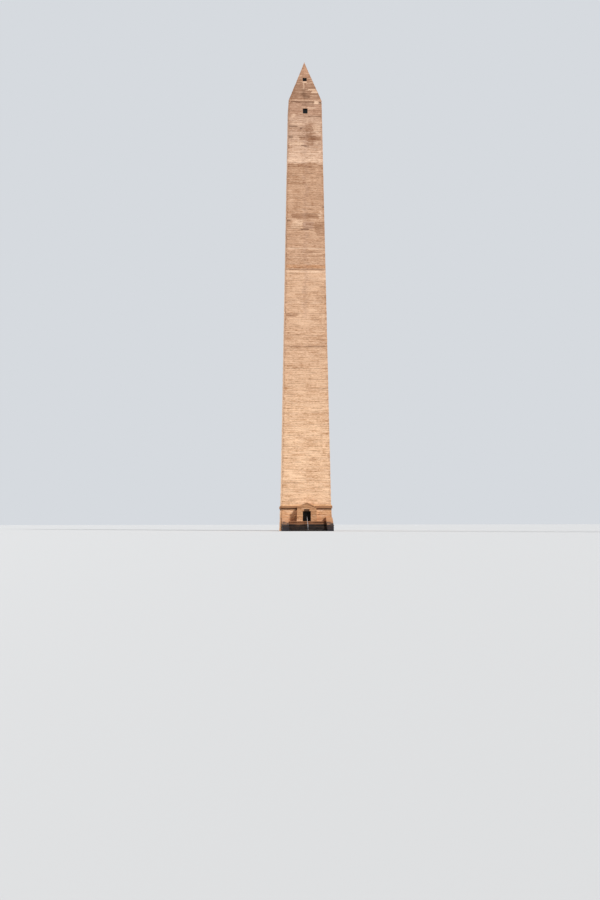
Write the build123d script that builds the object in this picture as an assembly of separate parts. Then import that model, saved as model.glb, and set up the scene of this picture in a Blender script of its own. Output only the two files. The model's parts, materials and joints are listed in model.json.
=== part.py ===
# A memorial obelisk of poured concrete, 351 feet tall, as a model at one tenth of its size.
# It has a battered pedestal with a projecting belt course, a gabled entrance porch with a
# pair of inward-opening doors, a broad stair between cheek walls, a hollow tapering shaft
# cast in stages, an observation room and a hollow pyramid top with a solid cap.
# +Z is up, the entrance faces -Y, and the origin is on the shaft's axis at ground level.

import os

from build123d import *

# one foot of the real monument, in millimetres of the model
FOOT = 304.8 / 10

# shaft and pyramid, counted down from the apex
monument_height = 351 * FOOT
pyramid_height = 36 * FOOT
cap_height = 13 * FOOT
observation_room_height = 15 * FOOT
upper_stage_length = 33 * FOOT
middle_stage_length = 80 * FOOT
shaft_base_width = 35 * FOOT
shaft_top_width = 24.5 * FOOT
shaft_top_wall = 2 * FOOT
pyramid_wall = 2 * FOOT

# floors of the two rooms with windows
observation_floor_thickness = 1 * FOOT
loft_floor_thickness = 0.8 * FOOT
floor_bearing = 0.5 * FOOT

# doorway, passage and doors
doorway_width = 5.5 * FOOT
doorway_height = 7 * FOOT
door_recess = 2 * FOOT
transom_shoulder = 0.95 * FOOT
transom_height = 1.4 * FOOT
transom_thickness = 0.25 * FOOT
passage_side_clearance = 0.3 * FOOT
passage_head_clearance = 1 * FOOT
lintel_depth = 1 * FOOT
frame_face = 0.22 * FOOT
frame_depth = 0.5 * FOOT
frame_stop = 0.1 * FOOT
leaf_thickness = 0.2 * FOOT
leaf_gap = 0.06 * FOOT
leaf_rail = 0.35 * FOOT
leaf_panel_rows = 3
leaf_panel_depth = 0.045 * FOOT
threshold_thickness = 0.08 * FOOT
hinge_barrel_diameter = 0.16 * FOOT
hinge_flap_width = 0.3 * FOOT
hinge_flap_thickness = 0.04 * FOOT
hinge_knuckle_length = 0.15 * FOOT
hinge_knuckle_gap = 0.01 * FOOT
hinge_end_distance = 0.9 * FOOT
hinge_count = 3
knob_diameter = 0.2 * FOOT
knob_projection = 0.22 * FOOT
knob_stem_diameter = 0.09 * FOOT
knob_neck = 0.09 * FOOT
knob_rose_diameter = 0.22 * FOOT
knob_rose_thickness = 0.03 * FOOT
knob_height = 3.2 * FOOT
knob_edge_distance = 0.175 * FOOT

# pedestal and belt course
landing_height = 6.75 * FOOT
pedestal_ledge = 0.25 * FOOT
pedestal_batter = 0.55 * FOOT
belt_projection = 0.85 * FOOT
belt_face_height = 1.65 * FOOT
belt_slope_height = 1.1 * FOOT
hall_floor_thickness = 0.5 * FOOT

# porch
porch_jamb_width = 3.9 * FOOT
porch_side_batter = 0.45 * FOOT
porch_front_batter = 0.5 * FOOT
porch_projection = 5 * FOOT
porch_eaves_over_transom = 1.05 * FOOT
porch_gable_height = 3.1 * FOOT
coping_thickness = 0.4 * FOOT
coping_overhang = 0.25 * FOOT

# windows
window_width = 3.25 * FOOT
window_height = 3.5 * FOOT
window_sill_height = 5 * FOOT
loft_window_width = 2.8 * FOOT
loft_window_height = 2.5 * FOOT
loft_window_below_apex = 16.7 * FOOT
window_frame_face = 0.18 * FOOT
window_frame_depth = 0.3 * FOOT
window_set_back = 0.85 * FOOT
pane_thickness = 0.06 * FOOT

# stair, cheek walls and handrail
riser_count = 12
step_sole_drop = 0.15 * FOOT
tread_depth = 13 / 12 * FOOT
stair_width = 26 * FOOT
landing_margin = 3.5 * FOOT
cheek_width = 4.4 * FOOT
parapet_height = 2.2 * FOOT
cheek_foot_length = 1.6 * FOOT
cheek_coping_thickness = 0.45 * FOOT
cheek_coping_overhang = 0.15 * FOOT
handrail_height = 3 * FOOT
mid_rail_height = 1.6 * FOOT
handrail_diameter = 0.2 * FOOT
mid_rail_diameter = 0.144 * FOOT
post_diameter = 0.18 * FOOT
post_flange_diameter = 0.5 * FOOT
post_flange_thickness = 0.05 * FOOT
rail_landing_run = 1 * FOOT
rail_bend_radius = 0.35 * FOOT
# the steps that carry a post, counted up from the ground
post_steps = (1, 4, 8)

# heights and widths worked out from the sizes above
shoulder_height = monument_height - pyramid_height
cap_foot = monument_height - cap_height
observation_floor_top = shoulder_height - observation_room_height
upper_stage_foot = observation_floor_top - upper_stage_length
middle_stage_foot = upper_stage_foot - middle_stage_length
bore_half = shaft_top_width / 2 - shaft_top_wall
door_head = landing_height + doorway_height
passage_head = door_head + passage_head_clearance
passage_half = doorway_width / 2 + passage_side_clearance
transom_half = doorway_width / 2 - transom_shoulder
belt_underside = passage_head + lintel_depth
belt_face_top = belt_underside + belt_face_height
belt_top = belt_face_top + belt_slope_height
belt_half = shaft_base_width / 2 + belt_projection
porch_eaves_half = doorway_width / 2 + porch_jamb_width
porch_eaves_height = door_head + transom_height + porch_eaves_over_transom
porch_pitch = porch_gable_height / porch_eaves_half
porch_apex_height = porch_eaves_height + porch_gable_height
coping_rise = coping_thickness * (1 + porch_pitch**2) ** 0.5
window_sill = observation_floor_top + window_sill_height
loft_window_sill = monument_height - loft_window_below_apex - loft_window_height / 2
riser_height = landing_height / riser_count
rail_slope = riser_height / tread_depth
# a length that reaches past the whole model, for cutting solids
FAR = monument_height
# the four sides in the order in which a quarter turn meets them
SIDES = ("front", "right", "rear", "left")


def between(low, high, height, height_low, height_high):
    """Straight-line value at a height."""
    share = (height - height_low) / (height_high - height_low)
    return low + (high - low) * share


def shaft_half(height):
    """Half the shaft's outer width at a height."""
    return between(shaft_base_width, shaft_top_width, height, belt_top, shoulder_height) / 2


def pedestal_half(height):
    """Half the pedestal's outer width at a height."""
    head = shaft_base_width / 2 + pedestal_ledge
    return between(head + pedestal_batter, head, height, 0, belt_underside)


def pyramid_half(height):
    """Half the pyramid's outer width at a height."""
    return between(shaft_top_width, 0, height, shoulder_height, monument_height) / 2


pedestal_face = pedestal_half(landing_height)
porch_front = -(pedestal_face + porch_projection)
door_plane = porch_front + door_recess
landing_edge = porch_front - landing_margin
stair_foot = landing_edge - tread_depth * (riser_count - 1)


def block(x_low, x_high, y_low, y_high, z_low, z_high):
    """A rectangular solid between two corners."""
    size = (x_high - x_low, y_high - y_low, z_high - z_low)
    return Pos(x_low, y_low, z_low) * Box(*size, align=(Align.MIN, Align.MIN, Align.MIN))


def square_block(half, z_low, z_high):
    """A square solid centred on the axis."""
    return block(-half, half, -half, half, z_low, z_high)


def across(profile, x_low, x_high):
    """A (y, z) outline carried along X."""
    face = make_face(Polyline(*[(x_low, y, z) for y, z in profile], close=True))
    return extrude(face, amount=x_high - x_low, dir=(1, 0, 0))


def inward(profile, y_low, y_high):
    """An (x, z) outline carried along Y."""
    face = make_face(Polyline(*[(x, y_low, z) for x, z in profile], close=True))
    return extrude(face, amount=y_high - y_low, dir=(0, 1, 0))


def frustum(half_low, half_high, z_low, z_high):
    """A square solid centred on the axis, with four flat battered sides, or a pyramid."""
    low = [(-half_low, z_low), (half_low, z_low)]
    high = [(half_high, z_high), (-half_high, z_high)] if half_high else [(0, z_high)]
    half = max(half_low, half_high)
    return across(low + high, -half, half) & inward(low + high, -half, half)


def side_wedge():
    """The quarter of space in front of both diagonals, for mitred walls."""
    corner = make_face(Polyline((0, 0), (-FAR, -FAR), (FAR, -FAR), close=True))
    return extrude(corner, amount=FAR)


def on_side(shape, side):
    """A front piece turned onto another side: 0 front, 1 right, 2 rear, 3 left."""
    return Rot(0, 0, 90 * side) * shape


def pedestal_mass():
    """The pedestal's outer form, from the ground to the belt course."""
    return frustum(pedestal_half(0), pedestal_half(belt_underside), 0, belt_underside)


def behind_front_face():
    """Everything behind the plane of the pedestal's front, for what is built against it."""
    profile = [
        (-pedestal_half(0), 0),
        (-pedestal_half(belt_underside), belt_underside),
        (0, belt_underside),
        (0, 0),
    ]
    return across(profile, -FAR, FAR)


def shaft_mass(z_low, z_high):
    """The shaft's outer form between two heights."""
    return frustum(shaft_half(z_low), shaft_half(z_high), z_low, z_high)


def make_footing():
    """The mass below the entrance floor, and the floor slab that the walls stand on."""
    slab_foot = landing_height - hall_floor_thickness
    halves = [pedestal_half(height) for height in (0, slab_foot, landing_height)]
    return {
        "foundation": frustum(halves[0], halves[1], 0, slab_foot),
        "hall_floor": frustum(halves[1], halves[2], slab_foot, landing_height),
    }


def make_pedestal():
    """The pedestal's walls: the front one is split beside and over the passage."""
    outer = (pedestal_half(landing_height), pedestal_half(belt_underside))
    ring = frustum(*outer, landing_height, belt_underside)
    ring -= square_block(bore_half, landing_height, belt_underside)
    front = ring & block(-FAR, FAR, -FAR, -bore_half, 0, FAR)
    half = passage_half
    return {
        "pedestal_front_left_wall": front & block(-FAR, -half, -FAR, 0, 0, FAR),
        "pedestal_front_right_wall": front & block(half, FAR, -FAR, 0, 0, FAR),
        "pedestal_front_lintel": front & block(-half, half, -FAR, 0, passage_head, FAR),
        "pedestal_rear_wall": ring & block(-FAR, FAR, bore_half, FAR, 0, FAR),
        "pedestal_left_wall": ring & block(-FAR, -bore_half, -bore_half, bore_half, 0, FAR),
        "pedestal_right_wall": ring & block(bore_half, FAR, -bore_half, bore_half, 0, FAR),
    }


def porch_front_cut(overhang=0.0):
    """The space behind the porch's battered front, which its coping overhangs."""
    top = porch_apex_height + 2 * coping_rise
    profile = [
        (porch_front - overhang, landing_height),
        (porch_front + porch_front_batter - overhang, top),
        (-bore_half, top),
        (-bore_half, landing_height),
    ]
    return across(profile, -FAR, FAR)


def built_against(solid):
    """What is left of a solid that dies into the pedestal and the shaft."""
    return solid - pedestal_mass() - shaft_mass(belt_underside, porch_apex_height + 2 * coping_rise)


def porch_mass():
    """The porch as one solid with battered sides and a gabled top."""
    foot_half = porch_eaves_half + porch_side_batter
    outline = [
        (-foot_half, landing_height),
        (foot_half, landing_height),
        (porch_eaves_half, porch_eaves_height),
        (0, porch_apex_height),
        (-porch_eaves_half, porch_eaves_height),
    ]
    return built_against(inward(outline, -FAR, 0) & porch_front_cut())


def porch_coping_form():
    """The raking coping that covers the gable and overhangs it all round."""
    reach = porch_eaves_half + coping_overhang
    foot = porch_apex_height - porch_pitch * reach
    outline = [
        (-reach, foot),
        (0, porch_apex_height),
        (reach, foot),
        (reach, foot + coping_rise),
        (0, porch_apex_height + coping_rise),
        (-reach, foot + coping_rise),
    ]
    return built_against(inward(outline, -FAR, 0) & porch_front_cut(coping_overhang))


def make_porch():
    """Jambs beside the doorway, the gable over it and its raking coping."""
    half = doorway_width / 2
    back = door_plane + frame_depth
    stepped_head = block(-transom_half, transom_half, -FAR, back, door_head, door_head + transom_height)
    passage = block(-passage_half, passage_half, back, 0, 0, passage_head)
    solid = porch_mass() - passage
    return {
        "porch_left_jamb": solid & block(-FAR, -half, -FAR, 0, 0, door_head),
        "porch_right_jamb": solid & block(half, FAR, -FAR, 0, 0, door_head),
        "porch_gable": (solid & block(-FAR, FAR, -FAR, 0, door_head, FAR)) - stepped_head,
        "porch_coping": porch_coping_form(),
    }


def make_belt_course():
    """The ledge round the shaft's foot, with a sloping top, stopped by the porch."""
    ring = square_block(belt_half, belt_underside, belt_face_top)
    ring += frustum(belt_half, shaft_half(belt_top), belt_face_top, belt_top)
    ring -= shaft_mass(belt_underside, belt_top)
    return ring - porch_mass() - porch_coping_form()


def make_shaft():
    """The hollow shaft's three cast stages, below the observation room."""
    breaks = (belt_underside, middle_stage_foot, upper_stage_foot, observation_floor_top)
    names = ("shaft_lower_stage", "shaft_middle_stage", "shaft_upper_stage")
    stages = {}
    for name, low, high in zip(names, breaks, breaks[1:]):
        stages[name] = shaft_mass(low, high) - square_block(bore_half, low, high)
    stages[names[-1]] -= floor_slab(observation_floor_top, observation_floor_thickness)
    return stages


def floor_slab(top, thickness):
    """A floor that bears in a rebate all round the bore."""
    return square_block(bore_half + floor_bearing, top - thickness, top)


def window_hole(width, height, sill):
    """A window's straight way through a front wall."""
    return block(-width / 2, width / 2, -FAR, 0, sill, sill + height)


def make_observation_walls():
    """The four walls of the observation room, mitred at the corners."""
    ring = shaft_mass(observation_floor_top, shoulder_height)
    ring -= square_block(bore_half, observation_floor_top, shoulder_height)
    ring -= floor_slab(shoulder_height, loft_floor_thickness)
    front = (ring & side_wedge()) - window_hole(window_width, window_height, window_sill)
    return {f"observation_{name}_wall": on_side(front, n) for n, name in enumerate(SIDES)}


def make_pyramid():
    """The hollow pyramid's four slopes and its solid cap."""
    low = pyramid_half(shoulder_height)
    high = pyramid_half(cap_foot)
    shell = frustum(low, high, shoulder_height, cap_foot)
    shell -= frustum(low - pyramid_wall, high - pyramid_wall, shoulder_height, cap_foot)
    hole = window_hole(loft_window_width, loft_window_height, loft_window_sill)
    front = (shell & side_wedge()) - hole
    pieces = {f"pyramid_{name}_slope": on_side(front, n) for n, name in enumerate(SIDES)}
    pieces["pyramid_cap"] = frustum(high, 0, cap_foot, monument_height)
    return pieces


def window_parts(width, height, sill, wall_half):
    """One front window's frame and pane, set back from the wall's face at mid-height."""
    outer = -wall_half(sill + height / 2) + window_set_back
    inner = outer + window_frame_depth
    middle = (outer + inner) / 2
    face = window_frame_face
    glass = (-width / 2 + face, width / 2 - face)
    glass_heights = (sill + face, sill + height - face)
    frame = block(-width / 2, width / 2, outer, inner, sill, sill + height)
    frame -= block(*glass, outer, inner, *glass_heights)
    pane = block(*glass, middle - pane_thickness / 2, middle + pane_thickness / 2, *glass_heights)
    return frame, pane


def make_windows():
    """The frames and panes of the two window rows."""
    rows = (
        (window_width, window_height, window_sill, shaft_half),
        (loft_window_width, loft_window_height, loft_window_sill, pyramid_half),
    )
    frames = []
    panes = []
    for row in rows:
        frame, pane = window_parts(*row)
        frames += [on_side(frame, side) for side in range(len(SIDES))]
        panes += [on_side(pane, side) for side in range(len(SIDES))]
    return {"window_frames": Compound(children=frames), "window_panes": Compound(children=panes)}


def step_block(number):
    """One step: a level tread and an upright riser on the stair bed's slope."""
    foot = stair_foot + number * tread_depth
    low = number * riser_height
    sole = low - step_sole_drop if number else low
    profile = [
        (foot, sole),
        (foot, low + riser_height),
        (foot + tread_depth, low + riser_height),
        (foot + tread_depth, low + riser_height - step_sole_drop),
    ]
    if number == 0:
        bed_start = foot + step_sole_drop / rail_slope
        profile.append((bed_start, low))
    return across(profile, -stair_width / 2, stair_width / 2)


def make_stair():
    """The sloping bed under the steps and the landing, the step blocks and the landing's slab."""
    half = stair_width / 2
    last_foot = stair_foot + (riser_count - 1) * tread_depth
    bed_top = landing_height - riser_height
    bed = [
        (stair_foot + step_sole_drop / rail_slope, 0),
        (last_foot, bed_top - step_sole_drop),
        (last_foot, bed_top),
        (-bore_half, bed_top),
        (-bore_half, 0),
    ]
    slab = block(-half, half, landing_edge, -bore_half, bed_top, landing_height)
    steps = [step_block(number) for number in range(riser_count - 1)]
    return {
        "stair_bed": across(bed, -half, half) - behind_front_face(),
        "steps_odd": Compound(children=steps[0::2]),
        "steps_even": Compound(children=steps[1::2]),
        "landing_slab": slab - behind_front_face(),
    }


def cheek_line(above):
    """The cheek wall's top in (y, z), a height above the landing and the stair's pitch line."""
    top = landing_height + above
    rake_end = stair_foot + cheek_foot_length
    return [
        (stair_foot - cheek_foot_length, top - (landing_edge - rake_end) * rail_slope),
        (rake_end, top - (landing_edge - rake_end) * rail_slope),
        (landing_edge, top),
        (-bore_half, top),
    ]


def make_cheek_walls():
    """The walls that close the stair's ends, level, raked and level again, with copings."""
    inner = stair_width / 2
    outer = inner + cheek_width
    top = cheek_line(parapet_height)
    body = [*top, (-bore_half, 0), (top[0][0], 0)]
    over = cheek_coping_overhang
    cover_top = cheek_line(parapet_height + cheek_coping_thickness)
    lower = [(top[0][0] - over, top[0][1]), *top[1:]]
    upper = [(cover_top[0][0] - over, cover_top[0][1]), *cover_top[1:]]
    cover = lower + upper[::-1]
    spans = ((-outer, -inner), (inner, outer))
    walls = [across(body, *span) - behind_front_face() for span in spans]
    copings = [across(cover, low - over, high + over) - behind_front_face() for low, high in spans]
    return {
        "cheek_wall_left": walls[0],
        "cheek_wall_right": walls[1],
        "cheek_copings": Compound(children=[solid for coping in copings for solid in coping.solids()]),
    }


def pitch_height(y):
    """The height of the stair's pitch line, or of the landing behind it."""
    return min(landing_height, landing_height + (y - landing_edge) * rail_slope)


def pipe(path, diameter):
    """A round bar along a path."""
    section = Plane(path @ 0, z_dir=path % 0) * Circle(diameter / 2)
    return sweep(section, path=path)


def upright(diameter, y, z_low, z_high):
    """A round upright bar in the middle of the stair."""
    align = (Align.CENTER, Align.CENTER, Align.MIN)
    return Pos(0, y, z_low) * Cylinder(diameter / 2, z_high - z_low, align=align)


def rail_path(height, y_points):
    """A rail's corners, a height above the pitch line."""
    return [(0, y, pitch_height(y) + height) for y in y_points]


def make_handrail():
    """The central pipe rail: upright posts on flanges, a bent top rail and a lower rail."""
    landing_end = landing_edge + rail_landing_run
    corners = rail_path(handrail_height, (stair_foot, landing_edge, landing_end))
    top_rail = pipe(FilletPolyline(*corners, radius=rail_bend_radius), handrail_diameter)
    feet = [(stair_foot + (step - 0.5) * tread_depth, step * riser_height) for step in post_steps]
    feet.append((landing_edge + rail_landing_run / 2, landing_height))
    posts = []
    for y, z in feet:
        post = upright(post_diameter, y, z, pitch_height(y) + handrail_height)
        post += upright(post_flange_diameter, y, z, z + post_flange_thickness)
        posts.append(post - top_rail)
    first_post = feet[0][0]
    mid_rail = pipe(Line(*rail_path(mid_rail_height, (first_post, landing_edge))), mid_rail_diameter)
    for post in posts:
        mid_rail -= post
    return {
        "handrail_posts": Compound(children=[p for post in posts for p in post.solids()]),
        "handrail_rails": Compound(children=[*top_rail.solids(), *mid_rail.solids()]),
    }


def make_door_frame():
    """The metal frame with its threshold and the stops that the leaves close against."""
    half = doorway_width / 2
    clear = half - frame_face
    clear_head = door_head - frame_face
    stop = clear - frame_stop
    back = door_plane + frame_depth
    leaf_front = back - leaf_thickness
    sill_top = landing_height + threshold_thickness
    frame = block(-half, half, door_plane, back, landing_height, door_head)
    frame -= block(-clear, clear, leaf_front, back, landing_height, clear_head)
    frame -= block(-stop, stop, door_plane, leaf_front, landing_height, clear_head - frame_stop)
    frame += block(-half, half, door_plane, back, landing_height, sill_top)
    panel_back = door_plane + transom_thickness
    panel_head = door_head + transom_height
    panel = block(-transom_half, transom_half, door_plane, panel_back, door_head, panel_head)
    return {"door_frame": frame, "transom_panel": panel}


def knob():
    """A turned door knob on its rose, standing up from the origin."""
    rose = knob_rose_diameter / 2
    stem = knob_stem_diameter / 2
    grip = knob_diameter / 2
    edge = grip - stem
    outline = Polyline(
        (0, 0),
        (rose, 0),
        (rose, knob_rose_thickness),
        (stem, knob_rose_thickness),
        (stem, knob_neck),
        (grip, knob_neck + edge),
        (grip, knob_projection - edge / 2),
        (grip - edge / 2, knob_projection),
        (0, knob_projection),
        close=True,
    )
    return revolve(Plane.XZ * make_face(outline), Axis.Z)


def make_left_leaf():
    """The left leaf with sunk panels, and the knobs on both its faces."""
    back = door_plane + frame_depth
    front = back - leaf_thickness + leaf_gap / 2
    clear = doorway_width / 2 - frame_face
    hinge_side = -clear + leaf_gap
    free_side = -leaf_gap / 2
    low = landing_height + threshold_thickness + leaf_gap
    high = door_head - frame_face - leaf_gap
    leaf = block(hinge_side, free_side, front, back, low, high)
    panel_height = (high - low - leaf_rail * (leaf_panel_rows + 1)) / leaf_panel_rows
    for row in range(leaf_panel_rows):
        z = low + leaf_rail + row * (panel_height + leaf_rail)
        for y_low, y_high in ((front, front + leaf_panel_depth), (back - leaf_panel_depth, back)):
            leaf -= block(hinge_side + leaf_rail, free_side - leaf_rail, y_low, y_high, z, z + panel_height)
    x = free_side - knob_edge_distance
    z = landing_height + knob_height
    outer_knob = Pos(x, front, z) * Rot(90, 0, 0) * knob()
    inner_knob = Pos(x, back, z) * Rot(-90, 0, 0) * knob()
    return leaf, [outer_knob, inner_knob]


def hinge_axis():
    """Where the left leaf turns: its pin stands just behind the leaf's edge."""
    x = -(doorway_width / 2 - frame_face) + leaf_gap / 2
    return x, door_plane + frame_depth + hinge_barrel_diameter / 2


def knuckle(z_low, z_high):
    """A length of hinge barrel on the left leaf's axis."""
    x, y = hinge_axis()
    align = (Align.CENTER, Align.CENTER, Align.MIN)
    return Pos(x, y, z_low) * Cylinder(hinge_barrel_diameter / 2, z_high - z_low, align=align)


def make_left_hinges():
    """The left leaf's hinge flaps, and the frame's flaps and knuckles that carry them."""
    x, y = hinge_axis()
    back = door_plane + frame_depth
    moving = []
    fixed = []
    spacing = (doorway_height - 2 * hinge_end_distance) / (hinge_count - 1)
    for number in range(hinge_count):
        middle = landing_height + hinge_end_distance + number * spacing
        low = middle - hinge_knuckle_length / 2
        high = middle + hinge_knuckle_length / 2
        flap_back = back + hinge_flap_thickness
        leaf_flap = block(x, x + hinge_flap_width, back, flap_back, low, high)
        moving.append(knuckle(low, high) + leaf_flap)
        reach = hinge_knuckle_length + hinge_knuckle_gap
        frame_low = low - reach
        frame_high = high + reach
        flap_edge = x - hinge_barrel_diameter / 2 - hinge_knuckle_gap
        frame_flap = block(-doorway_width / 2, flap_edge, back, flap_back, frame_low, frame_high)
        for z_low, z_high in ((frame_low, low - hinge_knuckle_gap), (high + hinge_knuckle_gap, frame_high)):
            arm = block(flap_edge, x, back, flap_back, z_low, z_high)
            frame_flap += knuckle(z_low, z_high) + arm
        fixed.append(frame_flap)
    return moving, fixed


def make_doors():
    """Both leaves with their knobs and hinges; the right leaf mirrors the left."""
    leaf, knobs = make_left_leaf()
    moving, fixed = make_left_hinges()
    left_fittings = knobs + moving
    right_fittings = [mirror(piece, about=Plane.YZ) for piece in left_fittings]
    return {
        "door_left": leaf,
        "door_right": mirror(leaf, about=Plane.YZ),
        "door_left_fittings": Compound(children=left_fittings),
        "door_right_fittings": Compound(children=right_fittings),
        "frame_hinges": Compound(children=fixed + [mirror(piece, about=Plane.YZ) for piece in fixed]),
    }


def make_all():
    """Every node of the model by name."""
    pieces = make_footing()
    pieces.update(make_pedestal())
    pieces["belt_course"] = make_belt_course()
    pieces.update(make_porch())
    pieces.update(make_shaft())
    pieces["observation_floor"] = floor_slab(observation_floor_top, observation_floor_thickness)
    pieces.update(make_observation_walls())
    pieces["loft_floor"] = floor_slab(shoulder_height, loft_floor_thickness)
    pieces.update(make_pyramid())
    pieces.update(make_windows())
    pieces.update(make_stair())
    pieces.update(make_cheek_walls())
    pieces.update(make_handrail())
    pieces.update(make_door_frame())
    pieces.update(make_doors())
    return pieces


os.makedirs("parts", exist_ok=True)
for node, shape in make_all().items():
    export_step(shape, f"parts/{node}.step")
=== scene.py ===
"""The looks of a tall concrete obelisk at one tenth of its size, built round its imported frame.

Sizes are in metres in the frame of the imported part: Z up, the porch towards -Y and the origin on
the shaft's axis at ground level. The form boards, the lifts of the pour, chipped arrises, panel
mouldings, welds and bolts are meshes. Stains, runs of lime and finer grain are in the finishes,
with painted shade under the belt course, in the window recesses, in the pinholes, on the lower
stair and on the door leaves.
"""

import json
import logging
import math
from collections.abc import Iterable, Sequence
from dataclasses import dataclass, field
from enum import Enum, IntEnum
from itertools import product

import bmesh
import bpy
import numpy as np
from mathutils import Euler, Matrix, Vector


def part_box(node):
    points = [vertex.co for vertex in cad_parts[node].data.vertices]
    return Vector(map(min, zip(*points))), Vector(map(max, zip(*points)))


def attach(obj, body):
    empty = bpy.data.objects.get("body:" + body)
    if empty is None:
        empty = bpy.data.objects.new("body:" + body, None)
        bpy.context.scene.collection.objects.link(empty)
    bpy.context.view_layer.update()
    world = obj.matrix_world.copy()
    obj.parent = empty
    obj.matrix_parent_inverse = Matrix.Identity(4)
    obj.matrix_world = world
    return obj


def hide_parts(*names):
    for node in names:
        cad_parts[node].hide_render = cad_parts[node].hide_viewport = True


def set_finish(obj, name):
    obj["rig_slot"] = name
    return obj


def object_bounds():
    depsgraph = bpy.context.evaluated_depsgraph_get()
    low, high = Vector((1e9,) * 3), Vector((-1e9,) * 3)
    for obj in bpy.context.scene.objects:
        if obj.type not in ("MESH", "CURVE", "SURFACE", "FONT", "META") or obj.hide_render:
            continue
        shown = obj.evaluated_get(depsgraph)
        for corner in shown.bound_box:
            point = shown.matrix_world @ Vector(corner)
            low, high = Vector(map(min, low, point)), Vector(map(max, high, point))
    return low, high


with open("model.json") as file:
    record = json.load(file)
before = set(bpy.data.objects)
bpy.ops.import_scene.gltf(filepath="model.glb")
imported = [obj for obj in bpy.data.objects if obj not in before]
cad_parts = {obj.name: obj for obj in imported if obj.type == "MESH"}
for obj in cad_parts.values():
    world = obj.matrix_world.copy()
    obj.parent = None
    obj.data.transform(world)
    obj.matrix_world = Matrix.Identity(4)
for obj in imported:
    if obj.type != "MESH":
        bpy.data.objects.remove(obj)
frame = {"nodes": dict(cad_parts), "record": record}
CAD_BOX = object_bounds()
LOG = logging.getLogger("obelisk")

Color = tuple[float, float, float, float]
BODY_OF = {
    node: body for body, nodes in frame["record"]["behaviour"]["bodies"].items() for node in nodes
}
SLOT_OF = {row["node"]: row["material_slot"] for row in frame["record"]["subparts"]}
SIDES = ("front", "right", "rear", "left")
WELD_DISTANCE = 1e-5
FLAT_ANGLE = math.radians(0.3)
SMOOTH_ANGLE = math.radians(38)
SHARP_ANGLE = math.radians(25)


def display_color(red: int, green: int, blue: int) -> Color:
    """Turns a display colour into the linear colour that a shader takes.

    Args:
        red: Red, from 0 to 255.
        green: Green, from 0 to 255.
        blue: Blue, from 0 to 255.

    Returns:
        The linear colour with full alpha.
    """
    # A display's curve is straight near black and a power above.
    shares = [value / 255 for value in (red, green, blue)]
    linear = [v / 12.92 if v <= 0.04045 else ((v + 0.055) / 1.055) ** 2.4 for v in shares]
    return (*linear, 1.0)


def lattice_values(cells: np.ndarray, seed: int) -> np.ndarray:
    """Gives whole-numbered points of space fixed values.

    Args:
        cells: Whole numbers, three a point.
        seed: Picks one field out of many.

    Returns:
        One value from 0 to 1 a point.
    """
    # Large factors and shifted bits scatter points that lie side by side.
    mixed = cells @ np.array((73856093, 19349663, 83492791)) + seed * 6542989
    mixed = (mixed ^ (mixed >> 13)) * 1274126177
    return ((mixed ^ (mixed >> 16)) & 0xFFFF) / 0xFFFF


@dataclass(frozen=True)
class NoiseField:
    """Smooth noise through space that is the same on each run."""

    cell: tuple[float, float, float]
    seed: int

    def at(self, points: np.ndarray) -> np.ndarray:
        """Reads the noise.

        Args:
            points: Three coordinates a point.

        Returns:
            One value from 0 to 1 a point.
        """
        scaled = points / np.asarray(self.cell)
        base = np.floor(scaled).astype(np.int64)
        part = scaled - base
        part = part * part * (3 - 2 * part)
        total = np.zeros(len(points))
        for corner in product((0, 1), repeat=3):
            share = np.prod(np.where(corner, part, 1 - part), axis=1)
            total += share * lattice_values(base + corner, self.seed)
        return total


def ease(values: np.ndarray, low: float, high: float) -> np.ndarray:
    """A smooth step.

    Args:
        values: The values to judge.
        low: Where the step is still 0.
        high: Where the step has reached 1.

    Returns:
        One share from 0 to 1 a value.
    """
    share = np.clip((values - low) / (high - low), 0, 1)
    return share * share * (3 - 2 * share)


@dataclass(frozen=True)
class Scar:
    """A broken place in the concrete, sunk deepest at its middle."""

    centre: tuple[float, float, float]
    reach: tuple[float, float, float]
    depth: float
    steepness: float = 0.6
    roughness: NoiseField = NoiseField((0.012, 0.012, 0.009), 61)

    def inset(self, points: np.ndarray) -> np.ndarray:
        """How deep the break is.

        Args:
            points: Three coordinates a point.

        Returns:
            One depth a point.
        """
        far = np.sum(((points - self.centre) / self.reach) ** 2, axis=1)
        rough = 0.5 + self.roughness.at(points)
        return self.depth * np.clip(1 - far, 0, 1) ** self.steepness * rough


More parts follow.
